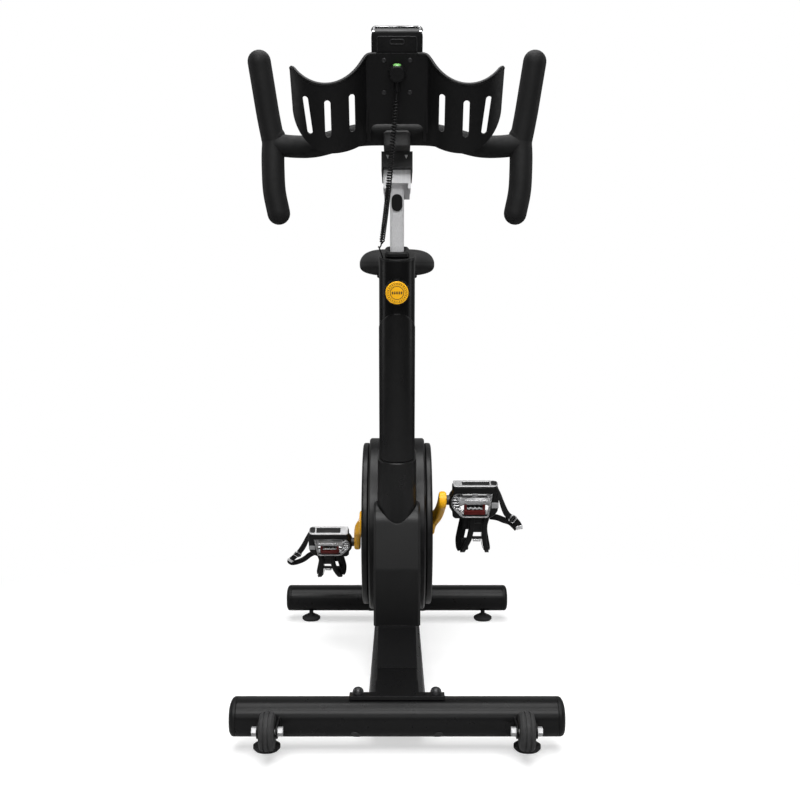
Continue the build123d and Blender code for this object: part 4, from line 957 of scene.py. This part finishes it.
    def column(self):
        """Raised panel on the column's round front, x = R sin a and y = c - R cos a with R = r - 0.5 + 1.7 f,
        where f is a quarter round over the last 3 mm to the panel's edge; a lip round the column's top; the
        post's collar."""
        wide, deep = COLUMN_WIDTH, COLUMN_DEPTH
        radius, centre, low, end = wide / 2, (wide - deep) / 2, -378.0, np.radians(84)
        a = np.linspace(-end, end, 81)[:, None]
        tall = -129 + 34 * np.cos(a) - low
        near = np.array([0, 0.5, 1.2, 2, 3]) / 280
        t = np.concatenate([near, np.linspace(0.02, 0.98, 40), 1 - near[::-1]])[None, :]
        gap = np.minimum(np.minimum(t, 1 - t) * tall, radius * (end - np.abs(a)))
        rise = 1.7 * np.sqrt(1 - (1 - np.clip(gap / 3, 0, 1)) ** 2) - 0.5
        h = low + tall * t
        shells = (radius + rise, radius - 0.5 + 0 * h)
        outer, inner = (np.stack([r * np.sin(a), centre - r * np.cos(a), h], 2) for r in shells)
        loop = np.concatenate([outer, inner[:, ::-1]], axis=1)
        piece("column_panel", COLUMN(loop), "cover_plastic", "frame", sharp=60)
        around, bore = (wide + 1, deep + 1, wide / 2 + 0.5), (wide - 5, deep - 5, wide / 2 - 2.5)
        lip = box_collar(around, bore, -3, 0.8, 0.8, arc=24)
        piece("column_lip", COLUMN(lip), "cover_plastic", "frame", wrap=RING)
        sleeve = box_collar((44, 84, 12), (26.8, 61.8, 6.8), 1.8, 13, 3)
        piece("post_collar", COLUMN(sleeve), "dark_plastic", "frame", wrap=RING)


# Pedals: the middle of the cage's window, its corners, and the upper and lower line of each strap
PEDAL_EYE = np.array([-2.0, -5.0])
PEDAL_WINDOW = [(33, 19.5), (-37, 19.5), (-42.5, 15), (-45.5, 6), (-45.5, -5), (-42.5, -12), (-36, -21)]
PEDAL_WINDOW += [(-28, -29.5), (-23, -32), (24, -32), (27, -30)]
STRAPS = {
    "left": (
        [(44, 19, -7), (49, 6, -5), (58.5, -16, -2), (70, -34, 1), (82, -48, 2), (90, -57, 2)],
        [(90, -57, 2), (92, -64, 0), (87, -70, -2), (75, -69, -4), (60, -62, -6), (45, -49, -8)]
        + [(30, -42, -9)],
    ),
    "right": (
        [(44, 19, -7), (48, 8, -5), (53, -8, -2), (61, -27, 1), (69, -36, 2), (79, -43, 3), (86, -52, 3)]
        + [(88, -59, 3)],
        [(31, -41, -9), (45, -43, -8), (57, -46.5, -5), (70, -49.5, -1), (78, -56, 1), (84, -63, 1)],
    ),
}


class BIKE_OT_pedals(PieceOperator, bpy.types.Operator):
    """Pedals with a resin cage, a silver core with a sprung claw, a ribbed toe clip and a buckled strap"""

    bl_idname = "bike.pedals"
    bl_label = "Pedals"

    def build(self, sizes):
        """Sets up each pedal's frame, mirrored for the left one, and makes its pieces."""
        for name, side in SIDES:
            centre = joint_mm(f"pedal_{name}_spin") * (0, 1, 1) + (side * PEDAL_OUT, 0, 0)
            lean = np.radians(PEDAL_LEAN[name])
            self.to_bike = leaning(centre, -np.cos(lean), -np.sin(lean))
            self.mirror, self.side_name = (side, 1, 1), name
            self.window = star_outline(PEDAL_WINDOW, PEDAL_EYE)
            self.cage()
            self.heel_plate()
            self.core()
            self.claw()
            self.toe_clip()
            self.strap()

    def add(self, label, grids, coat, stands_for=None, **options):
        """Piece of this pedal from grids in the pedal's frame: x outwards, y to the heel, z out of the
        face."""
        grids = [self.to_bike(grid * self.mirror) for grid in (grids if isinstance(grids, list) else [grids])]
        node = stands_for and f"{stands_for}_{self.side_name}"
        name, body = f"pedal_{label}_{self.side_name}", f"pedal_{self.side_name}"
        return piece(name, grids, coat, body, node, **options)

    def cage(self):
        """Ring between the cage's rim and its window, both seen from the window's middle, with its
        reflector and the nut of the spindle, a profile turned about x."""
        rim = [(33, 34.5), (-40, 34.5), (-44.5, 30), (-44.5, 17), (-48.5, 11), (-51, 4), (-51.5, -2)]
        rim += [(-49.5, -11), (-44.5, -19), (-43.5, -30), (-39, -34.5), (21, -34.5), (30.5, -32.8)]
        rim += [(38, -27.5), (43.2, -19.2), (45, -10), (45, 22), (43.4, 28), (39, 32.6)]
        ring = collar(star_outline(rim, PEDAL_EYE), self.window, -13, 13, 2.2)
        self.add("cage", ring, "dark_plastic", "pedal_body", wrap=RING)
        self.add("reflector", block(38, -5, 14, 12, 12.4, 13.5, 1.5, 0.4), "satin_alloy")
        stem = lathe([(0, -58), (6.6, -58), (7.4, -57), (7.4, -50), (9, -48), (0, -48)], 32)
        self.add("spindle_nut", stem[..., [2, 0, 1]], "black_zinc")

    def on_heel(self, grid):
        """Flat shape turned onto the heel edge: (x, y, z) becomes (x, 34.6 + z, -y)."""
        return grid[..., [0, 2, 1]] * (1, 1, -1) + (0, 34.6, 0)

    def heel_plate(self):
        """Silver plate with a window, the dark pad in it and a dark notch."""
        window = moved(box_outline(53, 15, 1.5), 0.5, 0.6)
        plate = collar(box_outline(86, 25.6, (9, 3, 4, 9)), window, 0, 1.7, 0.6)
        self.add("heel_plate", self.on_heel(plate), "satin_alloy", wrap=RING)
        self.add("heel_pad", self.on_heel(block(0.5, 0.6, 56, 18, -0.3, 0.4, 2, 0.3)), "dark_plastic")
        self.add("heel_notch", self.on_heel(block(35.5, 1, 12, 17, 1.2, 2.0, 4, 0.3)), "dark_plastic")

    def core(self):
        """Silver rim of the window, a barrel turned about x with a painted highlight on its top, and the bars,
        ribs and feet of the casting.
        """
        rim = collar(lambda i: self.window(i - 0.3), lambda i: self.window(i + 1.1), 7.5, 12.2, 0.5)
        self.add("core_rim", rim, "satin_alloy", "pedal_frame", wrap=RING)
        profile = [(0, -32), (11.2, -32), (11.5, -31), (11.5, -26), (9.6, -23), (9.6, 23), (11.2, 26)]
        barrel = lathe(profile + [(11.5, 31), (0, 31)])
        self.add("core_barrel", barrel[..., [2, 0, 1]], "satin_alloy")
        # Painted highlight: a flat strip of bright alloy along the barrel's top stands in for the barrel's shine
        self.add("core_bar", block(1.5, 3.4, 45, 3.6, 8.2, 10.4, 1.2), "bright_alloy")
        self.add("core_boss", [block(-1, 13.5, 10, 8, -5, 6), block(25.5, 12, 6, 14, 0, 8)], "satin_alloy")
        self.add("core_top", block(-2, 18.2, 76, 5.5, -6, 7, 1.5), "black_zinc")
        ribs = [block(-38 + 0.02 * y * y, y, 12, 2.6, 3, 9.5, 0.8) for y in (10, 4, -2, -8, -14)]
        lines = (
            [(-41, 17, 9), (-35, 11, 9), (-29, 5, 8.5)],
            [(-40, -12, 8.5), (-33, -20, 8.5), (-26, -28, 7.5)],
            [(31, 18, 9), (28.5, -4, 9), (26, -29, 8)],
        )
        ribs += [rod(curve_through(line, 16), 2.0, (0, 0, 1), 12) for line in lines]
        self.add("core_ribs", ribs, "bright_alloy")
        self.add("core_web", block(-37, -1, 16, 34, -4, 3.5, 3), "black_zinc")
        self.add("core_feet", [block(x, -23.5, 8.0, 8, 3, 7.5, 1.5) for x in (-25, 24)], "bright_alloy")
        self.add("core_back", block(-0.5, -19, 40, 24, -9, -5, 3), "black_zinc")

    def claw(self):
        """Red jaw of three blocks, and a comb whose teeth follow a triangle wave across the jaw."""
        jaw = [block(-1, -22.5, 41, 9, 5.5, 10.5, 2)]
        jaw += [block(x, -12.5, 5.2, 14, 5.5, 10, 1.8) for x in (-19, 17)]
        self.add("claw", jaw, "red_anodised")
        x = np.linspace(-16, 14, 31)
        comb = np.stack([x, -14.5 + 1.6 * np.abs((x / 4) % 2 - 1), np.full(31, 7.5)], 1)
        self.add("cleat_teeth", closed_ends(carry(comb, rounded_rectangle(3.2, 4, 0.7, 3))), "bright_alloy")

    def toe_clip(self):
        """Ribbed bands down the two arms, their ribs a cosine across the band, walls behind them, the
        web, its window and the silver bridge."""
        ribs = np.stack([np.linspace(-6, 6, 25), 3.4 + 0.9 * np.cos(np.linspace(0, 6 * np.pi, 25))], 1)
        section = np.vstack([ribs, [(6, -3.5), (-6, -3.5)]])[::-1]
        down = [(0, -34, 0), (0, -56, 0), (0, -75, -0.3), (0, -89, -0.8), (0, -103, -2), (0, -112, -5)]
        down = np.array(down + [(0, -118, -14), (0, -119, -28), (0, -118, -60)], float)
        arms = ((-6, -5.5, -8, -11, -17, -21, -22, -22, -21), (24, 19.5, 19, 19.5, 22.5, 26, 27, 27, 26))
        grids, edges = [], []
        for across in arms:
            path = curve_through(down + np.outer(across, (1, 0, 0)), 70)
            grids.append(closed_ends(carry(path, section, (1, 0, 0))))
            for side in (-5.2, 5.2):
                line = down[:6] + np.outer(np.add(across[:6], side), (1, 0, 0)) + (0, 0, 4.1)
                edges.append(rod(curve_through(line, 40), 0.55, (1, 0, 0), 8, 3))
        inner = [(-19, -33, -7), (-21, -54, -12), (-24.5, -77, -15), (-27, -96, -16), (-26, -112, -14)]
        outer = [(23, -33, -7), (22, -54, -12), (22, -77, -16), (25, -96, -17), (28, -112, -15)]
        inner.append((-23, -118, -12))
        outer.append((28, -118, -12))
        for line, width, lean in ((inner, 17, -0.3), (outer, 12, 0.3)):
            wall = carry(curve_through(line, 50), rounded_rectangle(width, 2.6, 1, 3), unit((lean, 0, 1)))
            grids.append(closed_ends(wall))
        grids += [block(-14, -50, 18, 34, -9, -3, 3, 1), block(-18, -102, 16, 26, -11, -5, 3, 1)]
        grids += [block(7, -51, 32, 40, -5, 1.5, 2, 1), block(6, -84.5, 24, 4, -5, 0.5, 1.5, 1)]
        self.add("toe_clip", grids, "dark_plastic", "toe_clip")
        self.add("clip_edges", edges, "black_rubber")
        self.add("clip_line", block(7, -50, 17, 1.4, 1.2, 2.0, 0.5, 0.3), "black_zinc")
        self.add("clip_bridge", block(5.5, -89.5, 15, 5.4, -3, 1, 2, 0.8), "bright_alloy")

    def strap(self):
        """Upper and lower length of the strap, a flat section carried along its line and twisted from the
        cage's side to its face, with its buckle and its metal tip."""
        upper, lower = (curve_through(points, 60) for points in STRAPS[self.side_name])
        web = rounded_rectangle(12, 1.5, 0.6, 3)
        twist = np.clip(np.linspace(0, 1.8, 60), 0, 1)[:, None]
        up = unit((1 - twist) * np.array([1.0, 0.5, 0.25]) + twist * np.array([0.1, 0.1, 1.0]))
        grids = [closed_ends(carry(upper, web, up)), closed_ends(carry(lower, web, (0.1, 0.35, 1.0)))]
        self.add("strap", grids, "webbing", "pedal_strap")
        spin = place(upper[38] + (0, 0, 1), upper[40] - upper[36], (0, 0, 1))
        ring = box_collar((13, 16, 2.5), (8, 12, 1), -1.8, 1.8, 0.7)
        self.add("buckle", spin(ring), "bright_alloy", wrap=RING)
        roller = rod(spin(np.linspace((-1, -7, 1.5), (-1, 7, 1.5), 6)), 1.6, (0, 0, 1), 14)
        self.add("buckle_roller", roller, "black_zinc")
        ferrule = place(upper[-1], upper[-1] - upper[-4], (0, 0, 1))
        self.add("strap_tip", ferrule(block(0, 0, 8, 13.5, -1.6, 1.6, 2, 0.7)), "bright_alloy")


# Lamps of the stage: name, place, aim, size and power, in metres and watts
LAMPS = (
    ("top_softbox", (0.0, -0.1, 2.8), (0.0, -0.1, 0.4), (1.8, 1.7), 48),
    ("front_card", (0.0, -3.2, 0.95), (0.0, -0.15, 0.4), (2.2, 0.9), 14),
    ("front_top_strip", (0.0, -1.6, 2.9), (0.0, -0.2, 0.4), (2.2, 0.5), 34),
    ("left_strip", (-2.4, 0.1, 1.1), (0.0, 0.1, 0.6), (0.8, 2.0), 10),
    ("right_strip", (2.4, 0.1, 1.1), (0.0, 0.1, 0.6), (0.8, 2.0), 10),
    ("front_fill", (0.0, -2.7, 2.4), (0.0, -0.2, 0.6), (2.4, 1.2), 78),
)


class BIKE_OT_stage(PieceOperator, bpy.types.Operator):
    """Sets up the pale floor, the soft light and the camera at the photograph's viewing angle"""

    bl_idname = "bike.stage"
    bl_label = "Stage"

    def build(self, sizes):
        """Floor, world and lamps, and a level camera whose lens is shifted as in the photograph."""
        scene = bpy.context.scene
        scene.view_settings.view_transform = "Standard"
        self.floor()
        self.world(scene)
        for row in LAMPS:
            self.lamp(*row)
        lens = bpy.data.cameras.new("camera")
        lens.lens, lens.sensor_width = 48.0, 36.0
        lens.shift_x, lens.shift_y = 0.00375, -0.0375
        camera = bpy.data.objects.new("camera", lens)
        camera.location = (0.0, -2.1475, 0.616)
        camera.rotation_euler = (np.pi / 2, 0.0, 0.0)
        scene.collection.objects.link(camera)
        scene.camera = camera

    def lamp(self, name, at, towards, size, power):
        """Rectangular soft light aimed at a point: tilted by atan2(level distance, height), then turned."""
        light = bpy.data.lights.new(name, "AREA")
        light.shape, light.size, light.size_y, light.energy = "RECTANGLE", size[0], size[1], power
        lamp = bpy.data.objects.new(name, light)
        lamp.location = at
        way = np.array(at, float) - np.array(towards, float)
        lamp.rotation_euler = (np.arctan2(np.hypot(way[0], way[1]), way[2]), 0, np.arctan2(way[0], -way[1]))
        bpy.context.scene.collection.objects.link(lamp)

    def floor(self):
        """Wide floor: pale paper round the bike, which keeps the shadow, and white to the camera further
        out, with a smooth step by the distance from the middle. Other rays see it grey, and dark further
        out."""
        half = 60.0
        corners = [(-half, -half, 0), (half, -half, 0), (half, half, 0), (-half, half, 0)]
        mesh = bpy.data.meshes.new("floor")
        mesh.from_pydata(corners, [], [(0, 1, 2, 3)])
        paper = bpy.data.materials.new("floor_paper")
        paper.use_nodes = True
        tree = paper.node_tree
        tree.nodes.clear()
        spot = add_node(tree, "ShaderNodeTexCoord").outputs["Object"]
        distance = add_node(tree, "ShaderNodeVectorMath", [(0, spot)], operation="LENGTH").outputs["Value"]
        far = map_range(tree, distance, 0.75, 1.5, 0.0, 1.0, "SMOOTHSTEP")
        matte, grey, dark = (
            add_node(tree, "ShaderNodeBsdfDiffuse", [("Color", (level, level, level, 1))])
            for level in (0.9, 0.5, 0.12)
        )
        near_glow, white = (
            add_node(tree, "ShaderNodeEmission", [("Strength", strength)]) for strength in (1.6, 1.0)
        )
        seen = self.mix(tree, far, self.mix(tree, 0.34, matte, near_glow), white)
        unseen = self.mix(tree, far, grey, dark)
        camera_ray = add_node(tree, "ShaderNodeLightPath").outputs["Is Camera Ray"]
        shown = self.mix(tree, camera_ray, unseen, seen)
        add_node(tree, "ShaderNodeOutputMaterial", [("Surface", shown.outputs[0])])
        mesh.materials.append(paper)
        floor = bpy.data.objects.new("floor", mesh)
        bpy.context.scene.collection.objects.link(floor)

    def mix(self, tree, share, first, second):
        """Mix of two shaders by a number or a socket."""
        return add_node(
            tree, "ShaderNodeMixShader", [("Fac", share), (1, first.outputs[0]), (2, second.outputs[0])]
        )

    def world(self, scene):
        """White to the camera and through glass; in reflections and as light it is white behind the bike
        and dim on the camera's side, as a studio is, with a smooth step along Y."""
        world = bpy.data.worlds.new("studio")
        scene.world = world
        world.use_nodes = True
        tree = world.node_tree
        tree.nodes.clear()
        way = add_node(tree, "ShaderNodeTexCoord").outputs["Generated"]
        depth = add_node(tree, "ShaderNodeSeparateXYZ", [(0, way)]).outputs["Y"]
        strength = map_range(tree, depth, -0.35, 0.6, 0.03, 0.25, "SMOOTHSTEP")
        dim, white = (
            add_node(tree, "ShaderNodeBackground", [("Color", (1, 1, 1, 1)), ("Strength", level)])
            for level in (strength, 1.0)
        )
        rays = add_node(tree, "ShaderNodeLightPath").outputs
        links = [(0, rays["Is Camera Ray"]), (1, rays["Is Transmission Ray"])]
        sees_white = add_node(tree, "ShaderNodeMath", links, operation="ADD", use_clamp=True).outputs[0]
        shown = self.mix(tree, sees_white, dim, white)
        add_node(tree, "ShaderNodeOutputWorld", [("Surface", shown.outputs[0])])


class BIKE_PT_pieces(bpy.types.Panel):
    """Lists the operators and the settings of the bike"""

    bl_idname = "BIKE_PT_pieces"
    bl_label = "Indoor cycling bike"
    bl_space_type = "VIEW_3D"
    bl_region_type = "UI"
    bl_category = "Bike"

    def draw(self, context):
        """One button for each operator, then the sizes and the colours."""
        for operator in OPERATORS:
            self.layout.operator(operator.bl_idname)
        for settings in (context.scene.bike_sizes, context.scene.bike_colours):
            for name in settings.__annotations__:
                self.layout.prop(settings, name)


OPERATORS = (
    BIKE_OT_packed_nodes,
    BIKE_OT_console_lead,
    BIKE_OT_handlebar,
    BIKE_OT_saddle,
    BIKE_OT_cranks,
    BIKE_OT_pedals,
    BIKE_OT_details,
    BIKE_OT_stage,
)
CLASSES = (BikeColours, BikeSizes, *OPERATORS, BIKE_PT_pieces)


def register():
    """Registers the classes and the two groups of settings."""
    for item in CLASSES:
        bpy.utils.register_class(item)
    bpy.types.Scene.bike_colours = bpy.props.PointerProperty(type=BikeColours)
    bpy.types.Scene.bike_sizes = bpy.props.PointerProperty(type=BikeSizes)


def unregister():
    """Takes back what register did, in reverse."""
    del bpy.types.Scene.bike_sizes
    del bpy.types.Scene.bike_colours
    for item in reversed(CLASSES):
        bpy.utils.unregister_class(item)


def main():
    """Registers the add-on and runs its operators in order."""
    register()
    for operator in OPERATORS:
        group, name = operator.bl_idname.split(".")
        getattr(getattr(bpy.ops, group), name)()


if __name__ == "__main__":
    main()
